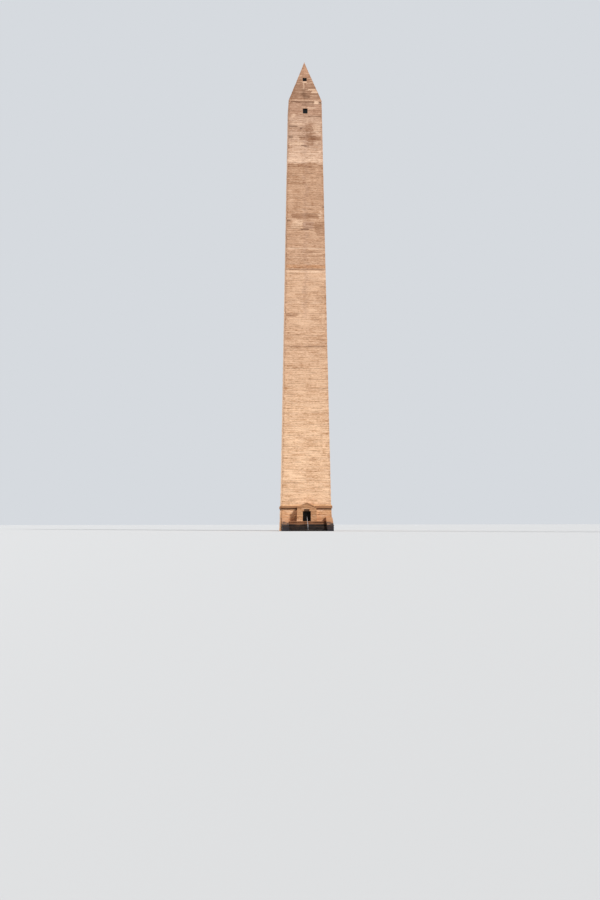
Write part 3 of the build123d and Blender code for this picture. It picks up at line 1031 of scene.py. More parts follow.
UPPER_PATCHES = (
    Patch(Stain.LIME, WHOLE_WIDTH, (8.15, 8.24), 0.5, anchored=True),
    Patch(Stain.SOOT_AND_SHADE, (-0.32, 0.36), (9.545, 9.578), 0.85, soft=0.008, anchored=True, wobble=0.1),
    Patch(Stain.LIME, WHOLE_WIDTH, (9.585, 9.625), 0.6, soft=0.012, anchored=True),
    Patch(Stain.SOOT_AND_SHADE, (-0.05, 0.24), (9.47, 9.535), 0.5, soft=0.012),
    Patch(Stain.LIME, (0.04, 0.25), (9.39, 9.45), 0.7),
    Patch(Stain.LIME, (0.2, 0.315), (9.508, 9.592), 1.0, soft=0.02, anchored=True, wobble=0.3),
    Patch(Stain.CHAR_AND_SHADE, (0.32, 0.4), (9.512, 9.57), 0.75, soft=0.012, anchored=True, wobble=0.25),
    Patch(Stain.SOOT_AND_SHADE, (0.08, 0.4), (9.215, 9.25), 0.6),
    Patch(Stain.LIME, (-0.35, -0.01), (9.03, 9.06), 0.85),
    Patch(Stain.SOOT_AND_SHADE, (-0.33, -0.1), (8.965, 9.015), 0.75),
    Patch(Stain.SOOT_AND_SHADE, (-0.09, -0.01), (8.9, 8.98), 0.75),
    Patch(Stain.UMBER, (0.03, 0.21), (8.53, 9.05), 0.6),
    Patch(Stain.LIME, (0.2, 0.4), (8.79, 9.05), 0.45),
    Patch(Stain.UMBER, (-0.17, 0.36), (8.65, 8.79), 0.7),
    Patch(Stain.SOOT_AND_SHADE, (-0.17, 0.2), (8.72, 8.79), 0.4),
    Patch(Stain.SOOT_AND_SHADE, (-0.4, -0.25), (8.67, 8.79), 0.6),
    Patch(Stain.LIME, (-0.4, 0.0), (8.535, 8.645), 0.65),
    Patch(Stain.LIME, (0.22, 0.32), (8.57, 8.65), 0.65),
    Patch(Stain.SOOT_AND_SHADE, (-0.09, 0.06), (8.5, 8.575), 0.75),
    Patch(Stain.LIME, (-0.31, -0.19), (9.18, 9.3), 0.55),
    Patch(
        Stain.LIME, (-0.055, 0.055), (10.095, 10.143), 1.0, soft=0.012, anchored=True, wobble=0.1
    ),
    Patch(Stain.LIME, (-0.14, -0.04), (10.26, 10.32), 0.85),
    Patch(Stain.LIME, (0.06, 0.32), (9.87, 9.94), 0.9),
    Patch(Stain.LIME, (0.18, 0.36), (9.8, 9.9), 0.8),
    Patch(Stain.LIME, (-0.045, 0.0), (9.88, 10.12), 0.4, soft=0.02, anchored=True, wobble=0.15),
    Patch(Stain.SOOT_AND_SHADE, (-0.08, 0.03), (9.62, 9.95), 0.55, soft=0.045, anchored=True, wobble=0.4),
    Patch(Stain.LIME, (0.08, 0.19), (10.05, 10.12), 0.7),
    Patch(Stain.SOOT_AND_SHADE, (-0.08, 0.08), (9.64, 9.82), 0.6),
    Patch(Stain.UMBER, (-0.4, 0.4), (9.6, 9.66), 0.4),
    Patch(Stain.LIME, (-0.1, 0.1), (10.63, 10.72), 0.6, anchored=True),
)

MIDDLE_PATCHES = (
    Patch(Stain.LIME, WHOLE_WIDTH, (8.13, 8.24), 0.42, anchored=True),
    Patch(Stain.UMBER, WHOLE_WIDTH, (8.02, 8.13), 0.42, anchored=True),
    Patch(Stain.SOOT_AND_SHADE, (0.3, 0.39), (7.11, 7.17), 0.75),
    Patch(Stain.LIME, (0.3, 0.38), (6.86, 7.08), 0.6),
    Patch(Stain.UMBER, (-0.3, 0.31), (6.85, 6.99), 0.65),
    Patch(Stain.SOOT_AND_SHADE, (-0.43, -0.31), (6.79, 6.85), 0.7),
    Patch(Stain.LIME, (-0.31, -0.04), (6.62, 6.85), 0.5),
    Patch(Stain.SLATE, (-0.04, 0.2), (6.62, 6.81), 0.7),
    Patch(Stain.SOOT_AND_SHADE, (-0.12, 0.1), (6.595, 6.64), 0.85),
    Patch(Stain.UMBER, (0.2, 0.45), (6.46, 6.81), 0.55),
    Patch(Stain.LIME, WHOLE_WIDTH, (6.165, 6.205), 0.7),
    Patch(Stain.RUST, WHOLE_WIDTH, (5.73, 5.83), 0.5),
    Patch(Stain.SOOT_AND_SHADE, WHOLE_WIDTH, (5.7, 5.735), 0.5, anchored=True),
    Patch(Stain.LIME, WHOLE_WIDTH, (5.63, 5.69), 0.6, anchored=True),
    Patch(Stain.UMBER, (-0.44, -0.13), (4.635, 4.735), 0.65),
    Patch(Stain.LIME, WHOLE_WIDTH, (5.5, 5.53), 0.5),
    Patch(Stain.LIME, WHOLE_WIDTH, (4.96, 4.99), 0.5),
    Patch(Stain.UMBER, WHOLE_WIDTH, (3.96, 4.02), 0.4),
)

PEDESTAL_PATCHES = (
    Patch(Stain.UMBER, WHOLE_WIDTH, (0.478, 0.532), 0.8, soft=0.003, wobble=0.0),
    # Under the belt course: the near-black band is its painted shadow, and the softer dark band
    # below is painted shade with some soot.
    Patch(Stain.CHAR_AND_SHADE, WHOLE_WIDTH, (0.459, 0.4805), 0.96, soft=0.004, wobble=0.0),
    Patch(Stain.SOOT_AND_SHADE, WHOLE_WIDTH, (0.435, 0.475), 0.7, soft=0.012, anchored=True),
    Patch(Stain.LIME, (0.22, 0.36), (0.41, 0.46), 0.6),
    Patch(Stain.UMBER, (0.26, 0.34), (0.335, 0.385), 0.6),
    Patch(Stain.LIME, (0.34, 0.5), (0.3, 0.34), 0.45),
    Patch(Stain.UMBER, WHOLE_WIDTH, (0.255, 0.285), 0.45, anchored=True),
    Patch(Stain.RUST, (0.42, 0.56), (0.17, 0.3), 0.6, soft=0.05),
    Patch(Stain.LIME, (-0.5, -0.3), (0.38, 0.42), 0.45),
    Patch(Stain.UMBER, (-0.54, -0.42), (0.22, 0.3), 0.45),
)

PORCH_PATCHES = (
    Patch(Stain.UMBER, (-0.3, 0.3), (0.44, 0.64), 0.34, anchored=True, wobble=0.25),
    Patch(Stain.UMBER, (0.07, 0.3), (0.1, 0.45), 0.32, anchored=True, wobble=0.25),
)

STAIR_PATCHES = (
    Patch(Stain.UMBER, (-0.397, 0.397), (0.14, 0.204), 0.75, soft=0.004, wobble=0.0),
    Patch(Stain.SOOT_AND_SHADE, (-0.3, 0.33), (0.13, 0.2), 0.6, anchored=True),
    # Near-black over the lower steps, and over the top steps beside the right cheek wall: painted
    # shade.
    Patch(Stain.CHAR_AND_SHADE, (-0.394, 0.394), (-0.1, 0.141), 0.9, soft=0.015, anchored=True, wobble=0.2),
    Patch(Stain.CHAR_AND_SHADE, (0.26, 0.394), (0.125, 0.19), 0.85, soft=0.02, anchored=True, wobble=0.3),
    Patch(Stain.RUST, (0.4, 0.53), (0.19, 0.26), 0.35, anchored=True),
    Patch(Stain.SLATE, (-0.52, -0.41), (0.2, 0.24), 0.4, anchored=True),
)

STREAK_PATCH = Patch(Stain.SLATE, (-0.07, 0.07), (4.6, 9.28), 0.3, soft=0.06, anchored=True)


@dataclass(frozen=True)
class Shading:
    """A new material with its graph and its surface shader."""

    material: bpy.types.Material
    graph: Graph
    surface: bpy.types.Node

    @classmethod
    def begin(cls, name: str, **constants: Feed) -> "Shading":
        """Makes an empty material.

        Args:
            name: The material's name.
            **constants: Plain values of the surface shader, with underscores for spaces.

        Returns:
            The material, ready for its graph.
        """
        material = bpy.data.materials.new(name)
        material.use_nodes = True
        material.node_tree.nodes.clear()
        graph = Graph(material.node_tree)
        values = {label.replace("_", " "): value for label, value in constants.items()}
        surface = graph.node("ShaderNodeBsdfPrincipled", values)
        output = graph.node("ShaderNodeOutputMaterial", {})
        material.node_tree.links.new(surface.outputs[0], output.inputs["Surface"])
        return cls(material, graph, surface)

    def feed(self, label: str, value: Feed) -> None:
        """Feeds one input of the surface shader."""
        self.graph.feed(self.surface.inputs[label], value)


@dataclass(frozen=True)
class ConcreteReading:
    """What the shared effects tell about each place on the concrete."""

    point: Wire
    side: dict[str, Wire]
    course: dict[str, Wire]
    grain: dict[str, Wire]
    runs: Wire


@dataclass(frozen=True)
class ConcreteFinish:
    """Poured concrete with its tone at each height, its courses, stains and grain.

    A contrast is how far one effect makes the tone lighter or darker, up to the lightest change. A
    share is how much of an effect's own colour shows. A stretch draws a noise out across the face,
    from side to side and upwards.
    """

    name: str
    tones: tuple[tuple[float, Color], ...]
    relief: PourRelief
    patches: tuple[Patch, ...] = ()
    board_contrast: float = 0.52
    lift_contrast: float = 0.45
    cloud_contrast: float = 0.12
    sand_contrast: float = 0.45
    tone_waver: float = 0.0
    streak_contrast: float = 3.5
    lightest: float = 0.17
    joint_share: float = 0.36
    lime_share: float = 0.5
    soot_share: float = 0.26
    run_share: float = 0.1
    arris_share: float = 0.5
    arris_width: float = 0.06
    worn_share: float = 0.3
    dust_share: float = 0.15
    pit_shade_share: float = 0.4
    tint_shares: tuple[float, float, float] = (1.0, 1.3, 1.55)
    side_shifts: tuple[float, float, float] = (0.41, -0.58, 0.23)
    patch_sway: float = 0.22
    board_sway: float = 0.1
    patch_rise: float = 0.04
    sway_stretch: tuple[float, float, float] = (9.0, 1.0, 30.0)
    gap_stretch: tuple[float, float, float] = (5.0, 1.0, 55.0)
    wood_stretch: tuple[float, float, float] = (14.0, 3.0, 420.0)
    wood_height: float = 0.45
    bump_distance: float = 0.0024
    bump_strength: float = 0.8
    roughness: float = 0.8
    cloud_roughness: float = 0.2
    specular: float = 0.25

    def build(self, effects: EffectLibrary) -> bpy.types.Material:
        """Writes the material.

        Args:
            effects: The shared effects.

        Returns:
            The material.
        """
        shading = Shading.begin(self.name, Specular_IOR_Level=self.specular)
        graph = shading.graph
        reading = self.read(graph, effects)
        grain = reading.grain
        ragged = [patch for patch in self.patches if patch.wobble]
        straight = [patch for patch in self.patches if not patch.wobble]
        color = self.plain_color(graph, reading)
        color = self.stained(graph, effects, color, reading, ragged)
        color = graph.toned(color, self.lightness(graph, reading), self.tint_shares)
        color = self.weathered(graph, effects, color, reading)
        color = self.stained(graph, effects, color, reading, straight)
        # Pinholes are darkened: painted shade in the pits.
        color = graph.lit(color, 1 - grain["Pit Mask"] * self.pit_shade_share)
        shading.feed("Base Color", color)
        shading.feed("Roughness", self.roughness + grain["Tone"] * self.cloud_roughness)
        shading.feed("Normal", self.normal(graph, reading))
        return shading.material

    def read(self, graph: Graph, effects: EffectLibrary) -> ConcreteReading:
        """Places the shared effects that the whole finish draws on.

        Args:
            graph: The graph to write into.
            effects: The shared effects.

        Returns:
            What they tell.
        """
        point = graph.object_point()
        side = graph.effect(effects[Effect.SIDES], Point=point)
        across, face, height = side["Across"], side["Face"], side["Height"]
        course = graph.effect(
            effects[Effect.COURSES],
            Across=across,
            Face=face,
            Height=height,
            Shoulder=self.relief.shoulder,
            Board=self.relief.board,
            Lift_Boards=float(self.relief.boards_a_lift),
        )
        grain = graph.effect(effects[Effect.GRAIN], Point=point)
        runs = graph.effect(effects[Effect.RUNS], Across=across, Face=face, Height=height)
        return ConcreteReading(point, side, course, grain, runs["Mask"])

    def plain_color(self, graph: Graph, reading: ConcreteReading) -> Wire:
        """Looks the unstained colour up by the height, which may waver with the clouds.

        Args:
            graph: The graph to write into.
            reading: What the shared effects tell.

        Returns:
            The colour.
        """
        top = self.tones[-1][0]
        level = (reading.side["Height"] + (reading.grain["Tone"] - 0.5) * self.tone_waver) / top
        return graph.ramp(level, [(place / top, tone) for place, tone in self.tones])

    def lightness(self, graph: Graph, reading: ConcreteReading) -> Wire:
        """Adds up how the courses, streaks and grain change the tone.

        Args:
            graph: The graph to write into.
            reading: What the shared effects tell.

        Returns:
            How much lighter the tone becomes, below 0 for darker.
        """
        course, grain = reading.course, reading.grain
        light = (course["Board Tone"] - 0.5) * self.board_contrast
        light = light + (course["Lift Tone"] - 0.5) * self.lift_contrast
        light = light + (course["Streak Tone"] - 0.5) * self.streak_contrast
        light = light + (grain["Tone"] - 0.5) * self.cloud_contrast
        light = light + (grain["Sand Tone"] - 0.5) * self.sand_contrast
        return graph.math("MINIMUM", light, self.lightest)

    def weathered(
        self, graph: Graph, effects: EffectLibrary, color: Wire, reading: ConcreteReading
    ) -> Wire:
        """Lays soot, lime, rain runs, broken arrises, worn edges and dust over a colour.

        Args:
            graph: The graph to write into.
            effects: The shared effects.
            color: The colour below.
            reading: What the shared effects tell.

        Returns:
            The weathered colour.
        """
        side, course = reading.side, reading.course
        color = graph.blend(course["Joint Mask"] * self.joint_share, color, Stain.SOOT_AND_SHADE.value)
        color = graph.blend(course["Soot Mask"] * self.soot_share, color, Stain.SOOT_AND_SHADE.value)
        color = graph.blend(course["Lime Mask"] * self.lime_share, color, Stain.LIME.value)
        color = graph.blend(reading.runs * self.run_share, color, Stain.SOOT_AND_SHADE.value)
        along_arris = graph.vector(side["Face"] * 5.3, side["Corner"] * 12.0, side["Height"] * 11.0)
        flaked = graph.noise(along_arris, 1.0, 4.0, 0.65)
        near_arris = 1 - side["Corner"].step(0.0, self.arris_width)
        arris = near_arris * flaked.step(0.36, 0.62)
        color = graph.blend(arris * self.arris_share, color, Stain.UMBER.value)
        edges = graph.effect(effects[Effect.EDGES], Point=reading.point)
        color = graph.blend(edges["Mask"] * self.worn_share, color, Stain.LIME.value)
        dust = graph.effect(effects[Effect.DUST], Point=reading.point)
        return graph.blend(dust["Mask"] * self.dust_share, color, Stain.LIME.value)

    def normal(self, graph: Graph, reading: ConcreteReading) -> Wire:
        """Tilts the normal by the grain and the boards' wood.

        Args:
            graph: The graph to write into.
            reading: What the shared effects tell.

        Returns:
            The normal.
        """
        place = graph.vector(*(reading.side[label] for label in ("Across", "Face", "Height")))
        imprint = graph.stretched(place, self.wood_stretch)
        wood = graph.noise(imprint, 1.0, 3.0, 0.6) * self.wood_height
        height = reading.grain["Height"] + wood
        return graph.bump(height, self.bump_distance, self.bump_strength)

    def stained(
        self,
        graph: Graph,
        effects: EffectLibrary,
        color: Wire,
        reading: ConcreteReading,
        patches: Sequence[Patch],
    ) -> Wire:
        """Lays patches over a colour.

        Args:
            graph: The graph to write into.
            effects: The shared effects.
            color: The colour below.
            reading: What the shared effects tell.
            patches: The patches, from below.

        Returns:
            The stained colour.
        """
        if not patches:
            return color
        across, face, height = (reading.side[label] for label in ("Across", "Face", "Height"))
        number = reading.course["Number"]
        point = graph.vector(across, face * 2.9, height)
        ragged = graph.noise(graph.stretched(point, self.sway_stretch), 1.0, 5.0, 0.75) - 0.5
        broken = graph.noise(graph.stretched(point, self.gap_stretch), 1.0, 3.0, 0.6)
        stepped = graph.chance(number * 1.37 + face * 19.0) - 0.5
        sway = ragged * self.patch_sway + stepped * self.board_sway
        rise = ragged * self.patch_rise
        shift = sum(
            graph.math("COMPARE", face, float(side), 0.1) * amount
            for side, amount in enumerate(self.side_shifts, start=1)
        )
        swayed = {patch.wobble: across + sway * patch.wobble for patch in patches}
        risen = {patch.wobble: height + rise * patch.wobble for patch in patches}
        for patch in patches:
            straight = not patch.wobble
            patch_height = risen[patch.wobble]
            mask = graph.effect(
                effects[Effect.PATCH],
                Across=swayed[patch.wobble],
                Height=patch_height if patch.anchored or straight else patch_height + shift,
                Left=patch.across[0],
                Right=patch.across[1],
                Low=patch.heights[0],
                High=patch.heights[1],
                Soft=patch.soft,
                Soft_Ends=min(patch.soft, (patch.heights[1] - patch.heights[0]) / 3),
            )["Mask"]
            share = mask * patch.share
            if not straight:
                share = share * broken.step(0.25, 0.5)
            color = graph.blend(share, color, patch.stain.value)
        return color


@dataclass(frozen=True)
class MetalFinish:
    """A metal with cloudy patina, rain runs, settled dust and bright wear on its edges.

    Clouds and dust make it rougher, and polish is what it has where neither lies. Worn edges are
    smoother still.
    """

    name: str
    base: Color
    patina: Color
    worn: Color
    metallic: float = 0.9
    roughness: float = 0.42
    patina_share: float = 0.7
    specular: float = 0.5
    wear_radius: float = 0.0006
    wear_breakup: float = 260.0
    clouds: float = 30.0
    sand: float = 1500.0
    pits: float = 700.0
    narrow_runs: float = 300.0
    long_runs: float = 9.0
    dust_breakup: float = 90.0
    run_share: float = 0.3
    worn_share: float = 0.75
    dust_share: float = 0.35
    cloud_contrast: float = 0.2
    polish: float = 0.1
    cloud_roughness: float = 0.24
    worn_polish: float = 0.12
    dust_roughness: float = 0.25
    bump_distance: float = 0.0002
    bump_strength: float = 0.4

    def build(self, effects: EffectLibrary) -> bpy.types.Material:
        """Writes the material.

        Args:
            effects: The shared effects.

        Returns:
            The material.
        """
        constants = {"Metallic": self.metallic, "Specular_IOR_Level": self.specular}
        shading = Shading.begin(self.name, **constants)
        graph = shading.graph
        point = graph.object_point()
        split = graph.node("ShaderNodeSeparateXYZ", {0: point})
        x, _, height = (Wire(graph, output) for output in split.outputs)
        grain = graph.effect(
            effects[Effect.GRAIN], Point=point, Clouds=self.clouds, Sand=self.sand, Pits=self.pits
        )
        runs = graph.effect(
            effects[Effect.RUNS],
            Across=x,
            Height=height,
            Narrow=self.narrow_runs,
            Long=self.long_runs,
        )
        edges = graph.effect(
            effects[Effect.EDGES], Point=point, Radius=self.wear_radius, Breakup=self.wear_breakup
        )
        dust = graph.effect(effects[Effect.DUST], Point=point, Breakup=self.dust_breakup)
        tarnished = grain["Tone"].step(0.42, 0.66) * self.patina_share
        color = graph.blend(tarnished, self.base, self.patina)
        color = graph.blend(runs["Mask"] * self.run_share, color, self.patina)
        color = graph.blend(edges["Mask"] * self.worn_share, color, self.worn)
        color = graph.blend(dust["Mask"] * self.dust_share, color, Stain.SLATE.value)
        clouded = 1 - self.cloud_contrast / 2 + grain["Tone"] * self.cloud_contrast
        shading.feed("Base Color", graph.lit(color, clouded))
        rough = self.roughness - self.polish + grain["Tone"] * self.cloud_roughness
        rough = rough - edges["Mask"] * self.worn_polish
        shading.feed("Roughness", rough + dust["Mask"] * self.dust_roughness)
        normal = graph.bump(grain["Height"], self.bump_distance, self.bump_strength)
        shading.feed("Normal", normal)
        return shading.material


@dataclass(frozen=True)
class GlassFinish:
    """Dark window glass with a film of dust."""

    name: str
    tint: Color = display_color(12, 13, 14)
    dust: Color = display_color(46, 43, 39)
    clouds: float = 26.0
    sand: float = 900.0
    film_share: float = 0.3
    film_roughness: float = 0.8
    clean_roughness: float = 0.06
    transmission: float = 0.4
    specular: float = 0.12
    bump_distance: float = 0.0004
    bump_strength: float = 0.2

    def build(self, effects: EffectLibrary) -> bpy.types.Material:
        """Writes the material.

        Args:
            effects: The shared effects.

        Returns:
            The material.
        """
        constants = {"Transmission_Weight": self.transmission, "Specular_IOR_Level": self.specular}
        shading = Shading.begin(self.name, **constants)
        graph = shading.graph
        point = graph.object_point()
        grain = graph.effect(
            effects[Effect.GRAIN], Point=point, Clouds=self.clouds, Sand=self.sand
        )
        film = grain["Tone"].step(0.45, 0.75) * self.film_share
        shading.feed("Base Color", graph.blend(film, self.tint, self.dust))
        shading.feed("Roughness", self.clean_roughness + film * self.film_roughness)
        normal = graph.bump(grain["Tone"], self.bump_distance, self.bump_strength)
        shading.feed("Normal", normal)
        return shading.material


def concrete_finishes(relief: PourRelief) -> dict[str, ConcreteFinish]:
    """The concretes by the record's material slots.

    Args:
        relief: The courses that the finishes mark.

    Returns:
        A finish for each slot.
    """
    foot_tan = display_color(235, 193, 156)
    middle_tan = display_color(216, 174, 141)
    brown_tan = display_color(203, 161, 130)
    light_grey_tan = display_color(222, 184, 156)
    grey_tan = display_color(202, 164, 138)
    window_brown = display_color(184, 143, 117)
    shoulder_brown = display_color(158, 119, 94)
    cap_tan = display_color(192, 147, 118)
    porch_brown = display_color(206, 156, 114)
    pause, upper_pause = (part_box(f"shaft_{stage}_stage")[0].z for stage in ("middle", "upper"))
    shoulder = relief.shoulder
    apex = CAD_BOX[1].z
    tower = (
        (0.0, foot_tan),
        (0.2 * shoulder, foot_tan),
        (0.42 * shoulder, middle_tan),
        (pause - 0.02, middle_tan),
        (pause + 0.02, brown_tan),
        (upper_pause - 0.01, brown_tan),
        (upper_pause + 0.01, light_grey_tan),
        (upper_pause + 0.3, light_grey_tan),
        (upper_pause + 0.45, grey_tan),
        (shoulder - 0.4, grey_tan),
        (shoulder - 0.32, window_brown),
        (shoulder - 0.08, window_brown),
        (shoulder + 0.1, shoulder_brown),
        (shoulder + 0.4, shoulder_brown),
        (apex - 0.2, cap_tan),
        (apex, cap_tan),
    )
    pedestal = (
        (0.0, display_color(210, 158, 116)),
        (0.45, display_color(226, 177, 134)),
        (0.53, display_color(214, 166, 122)),
        (0.6, display_color(214, 166, 122)),
    )
    porch = ((0.0, porch_brown), (0.6, porch_brown))
    # Near-black up to the upper steps is painted tree shade on the lower steps and cheek walls;
    # above, it rises to the plain tan of the upper steps and copings.
    stair = (
        (0.0, display_color(44, 41, 45)),
        (0.13, display_color(46, 43, 46)),
        (0.155, display_color(92, 69, 56)),
        (0.185, display_color(170, 122, 88)),
        (0.3, display_color(196, 147, 108)),
    )
    inside = ((0.0, display_color(150, 141, 130)), (apex, display_color(150, 141, 130)))
    middle = (*MIDDLE_PATCHES, STREAK_PATCH)
    upper = (*UPPER_PATCHES, STREAK_PATCH, *WINDOW_RECESS_SHADE)
    return {
        "shaft_concrete": ConcreteFinish("tan lift concrete", tower, relief, middle),
        "upper_concrete": ConcreteFinish(
            "stained upper concrete", tower, relief, upper, run_share=0.26
        ),
        "pedestal_concrete": ConcreteFinish(
            "pedestal concrete", pedestal, relief, PEDESTAL_PATCHES, side_shifts=(0.03, -0.04, 0.02)
        ),
        "porch_concrete": ConcreteFinish(
            "porch concrete", porch, relief, PORCH_PATCHES, board_contrast=0.26
        ),
        "stair_concrete": ConcreteFinish(
            "stair concrete with painted shade",
            stair,
            relief,
            STAIR_PATCHES,
            board_contrast=0.3,
            streak_contrast=0.3,
            tone_waver=0.22,
            lime_share=0.02,
            soot_share=0.2,
            arris_share=0.0,
            worn_share=0.12,
            dust_share=0.015,
        ),
        "interior_concrete": ConcreteFinish(
            "inner concrete", inside, relief, arris_share=0.0, dust_share=0.1
        ),
    }


def metal_finishes() -> dict[str, MetalFinish | GlassFinish]:
    """The metals and the glass by the record's material slots.

    Returns:
        A finish for each slot.
    """
    return {
        # The leaves' near-black is partly dark bronze and partly painted shade of the recessed
        # doorway.
        "door_bronze": MetalFinish(
            "door bronze with painted shade",
            display_color(20, 16, 13),
            display_color(18, 19, 16),
            display_color(78, 58, 40),
            metallic=0.4,
            roughness=0.55,
            specular=0.12,
        ),
        "bronze_fittings": MetalFinish(
            "handled bronze",
            display_color(112, 82, 50),
            display_color(66, 56, 42),
            display_color(170, 132, 84),
            roughness=0.32,
            patina_share=0.5,
        ),
        "transom_bronze": MetalFinish(
            "brown transom bronze",
            display_color(124, 92, 68),
            display_color(98, 86, 68),
            display_color(170, 128, 86),
            roughness=0.5,
        ),
        "rail_steel": MetalFinish(
            "weathered galvanised pipe",
            display_color(170, 173, 178),
            display_color(132, 134, 138),
            display_color(204, 206, 210),
            metallic=0.75,
            roughness=0.46,
            clouds=160.0,
        ),
        "window_frame_metal": MetalFinish(
            "dark window paint",
            display_color(44, 42, 42),
            display_color(60, 54, 50),
            display_color(118, 110, 102),
            metallic=0.2,
            roughness=0.5,
        ),
        "window_glass": GlassFinish("dusty window glass"),
    }


class FinishBook:
    """All the finishes of the monument by the record's material slots."""

    def __init__(self, relief: PourRelief) -> None:
        """Builds the shared effects and every material.

        Args:
            relief: The courses that the concretes mark.
        """
        effects = EffectLibrary()
        finishes = {**concrete_finishes(relief), **metal_finishes()}
        self.materials = {slot: finish.build(effects) for slot, finish in finishes.items()}

    def material(self, slot: str) -> bpy.types.Material:
        """The material of a slot."""
        return self.materials[slot]


@dataclass
class SubAssembly:
    """Pieces that are built and dressed together.

    The bend range is in radians, from a flat place to an edge that chips in full. The lean range
    is the upward part of a face's normal, from an upright face to a level one.
    """

    book: FinishBook
    relief: PourRelief
    pieces: list[bpy.types.Object] = field(default_factory=list, init=False)
    bend_range: tuple[float, float] = (0.1, 0.5)
    lean_range: tuple[float, float] = (0.3, 0.7)
    edge_chip: float = 1.2
    level_noise: NoiseField = NoiseField((0.06, 0.06, 0.06), 21)
    edge_noise: NoiseField = NoiseField((0.016, 0.016, 0.016), 22)

    def build(self) -> None:
        """Builds every piece."""
        raise NotImplementedError

    def dress(self) -> None:
        """Gives every piece the finish of its material slot."""
        for piece in self.pieces:
            piece.data.materials.append(self.book.material(piece["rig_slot"]))

    def add(self, name: str, shape: bmesh.types.BMesh, node: str, stands_for: bool = True) -> None:
        """Places a piece in the frame.

        Args:
            name: The piece's name.
            shape: Its working mesh, already in place, which is freed.
            node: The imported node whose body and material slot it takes.
            stands_for: Whether it is shown instead of that node.
        """
        piece = bpy.data.objects.new(name, finished_mesh(shape, name))
        bpy.context.scene.collection.objects.link(piece)
        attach(piece, BODY_OF[node])
        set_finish(piece, SLOT_OF[node])
        if stands_for:
            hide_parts(node)
        self.pieces.append(piece)

    def keep(self, node: str) -> None:
        """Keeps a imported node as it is, with the finish of its material slot.

        Args:
            node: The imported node.
        """
        packed = frame["nodes"][node]
        for place in packed.material_slots:
            place.material = self.book.material(SLOT_OF[node])
        LOG.info("kept %s: %s", node, SLOT_OF[node])

    def report(self) -> None:
        """Does nothing."""

    @staticmethod
    def move_corners(shape: bmesh.types.BMesh, points: np.ndarray) -> None:
        """Puts each corner of a mesh in a new place.

        Args:
            shape: The mesh to change.
            points: Three coordinates a corner, in the mesh's order.
        """
        for vertex, place in zip(shape.verts, points):
            vertex.co = place

    def add_tower_casting(self, node: str, taper: Taper, columns: int = 26) -> None:
        """Cuts a packed tower piece into boards and presses the tower's relief into it.

        Args:
            node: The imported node.
            taper: The outer form that it belongs to.
            columns: Cuts across a side.
        """
        low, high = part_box(node)
        shape = node_shape(node)
        half = max(taper.halves)
        near_arris = min(taper.half(np.array((low.z, high.z)))) - 2 * self.relief.arris_width
        spread = [*np.linspace(-half, half, columns + 2)[1:-1], -near_arris, near_arris]
        for axis in (0, 1):
            cut_across(shape, axis, [at for at in spread if low[axis] < at < high[axis]])
        cut_across(shape, 2, self.relief.levels(low.z, high.z))
        points = np.array([vertex.co for vertex in shape.verts])
        self.move_corners(shape, taper.weathered(points, self.relief))
        self.add(f"{node}_cast", shape, node)

    def add_casting(
        self, node: str, spacing: float, edge: float, upright: float = 0.6, level: float = 1.0
    ) -> None:
        """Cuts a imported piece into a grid, rounds its edges and presses the relief into it.

        Args:
            node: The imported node.
            spacing: The grid's spacing.
            edge: How far its edges are rounded.
            upright: How much of the relief its upright faces take.
            level: How uneven its level faces are.
        """
        low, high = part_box(node)
        shape = node_shape(node)
        soften_edges(shape, edge)
        for axis in (0, 1):
            count = max(1, round((high[axis] - low[axis]) / spacing))
            cut_across(shape, axis, np.linspace(low[axis], high[axis], count + 1)[1:-1])
        cut_across(shape, 2, self.relief.levels(low.z, high.z))
        shape.normal_update()
        points = np.array([vertex.co for vertex in shape.verts])
        normals = np.array([vertex.normal for vertex in shape.verts])
        bends = [
            max((link.calc_face_angle(0.0) for link in corner.link_edges), default=0)
            for corner in shape.verts
        ]
        bent = ease(np.array(bends), *self.bend_range)
        steep = 1 - ease(np.abs(normals[:, 2]), *self.lean_range)
        uneven = self.relief.skin + self.relief.wave * self.level_noise.at(points)
        chips = self.edge_noise.at(points) ** 3 * bent
        inset = steep * self.relief.inset(points) * upright + (1 - steep) * uneven * level
        moved = points - normals * (inset + edge * self.edge_chip * chips)[:, None]
        floor = max(low.z, 0.0)
        moved[:, 2] = np.maximum(moved[:, 2], floor)
        self.move_corners(shape, moved)
        self.add(f"{node}_cast", shape, node)

    def add_softened(self, node: str, edge: float) -> None:
        """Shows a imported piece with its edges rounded.

        Args:
            node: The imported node.
            edge: How far its edges are rounded.
        """
        shape = node_shape(node)
        soften_edges(shape, edge)
        self.add(f"{node}_finished", shape, node)


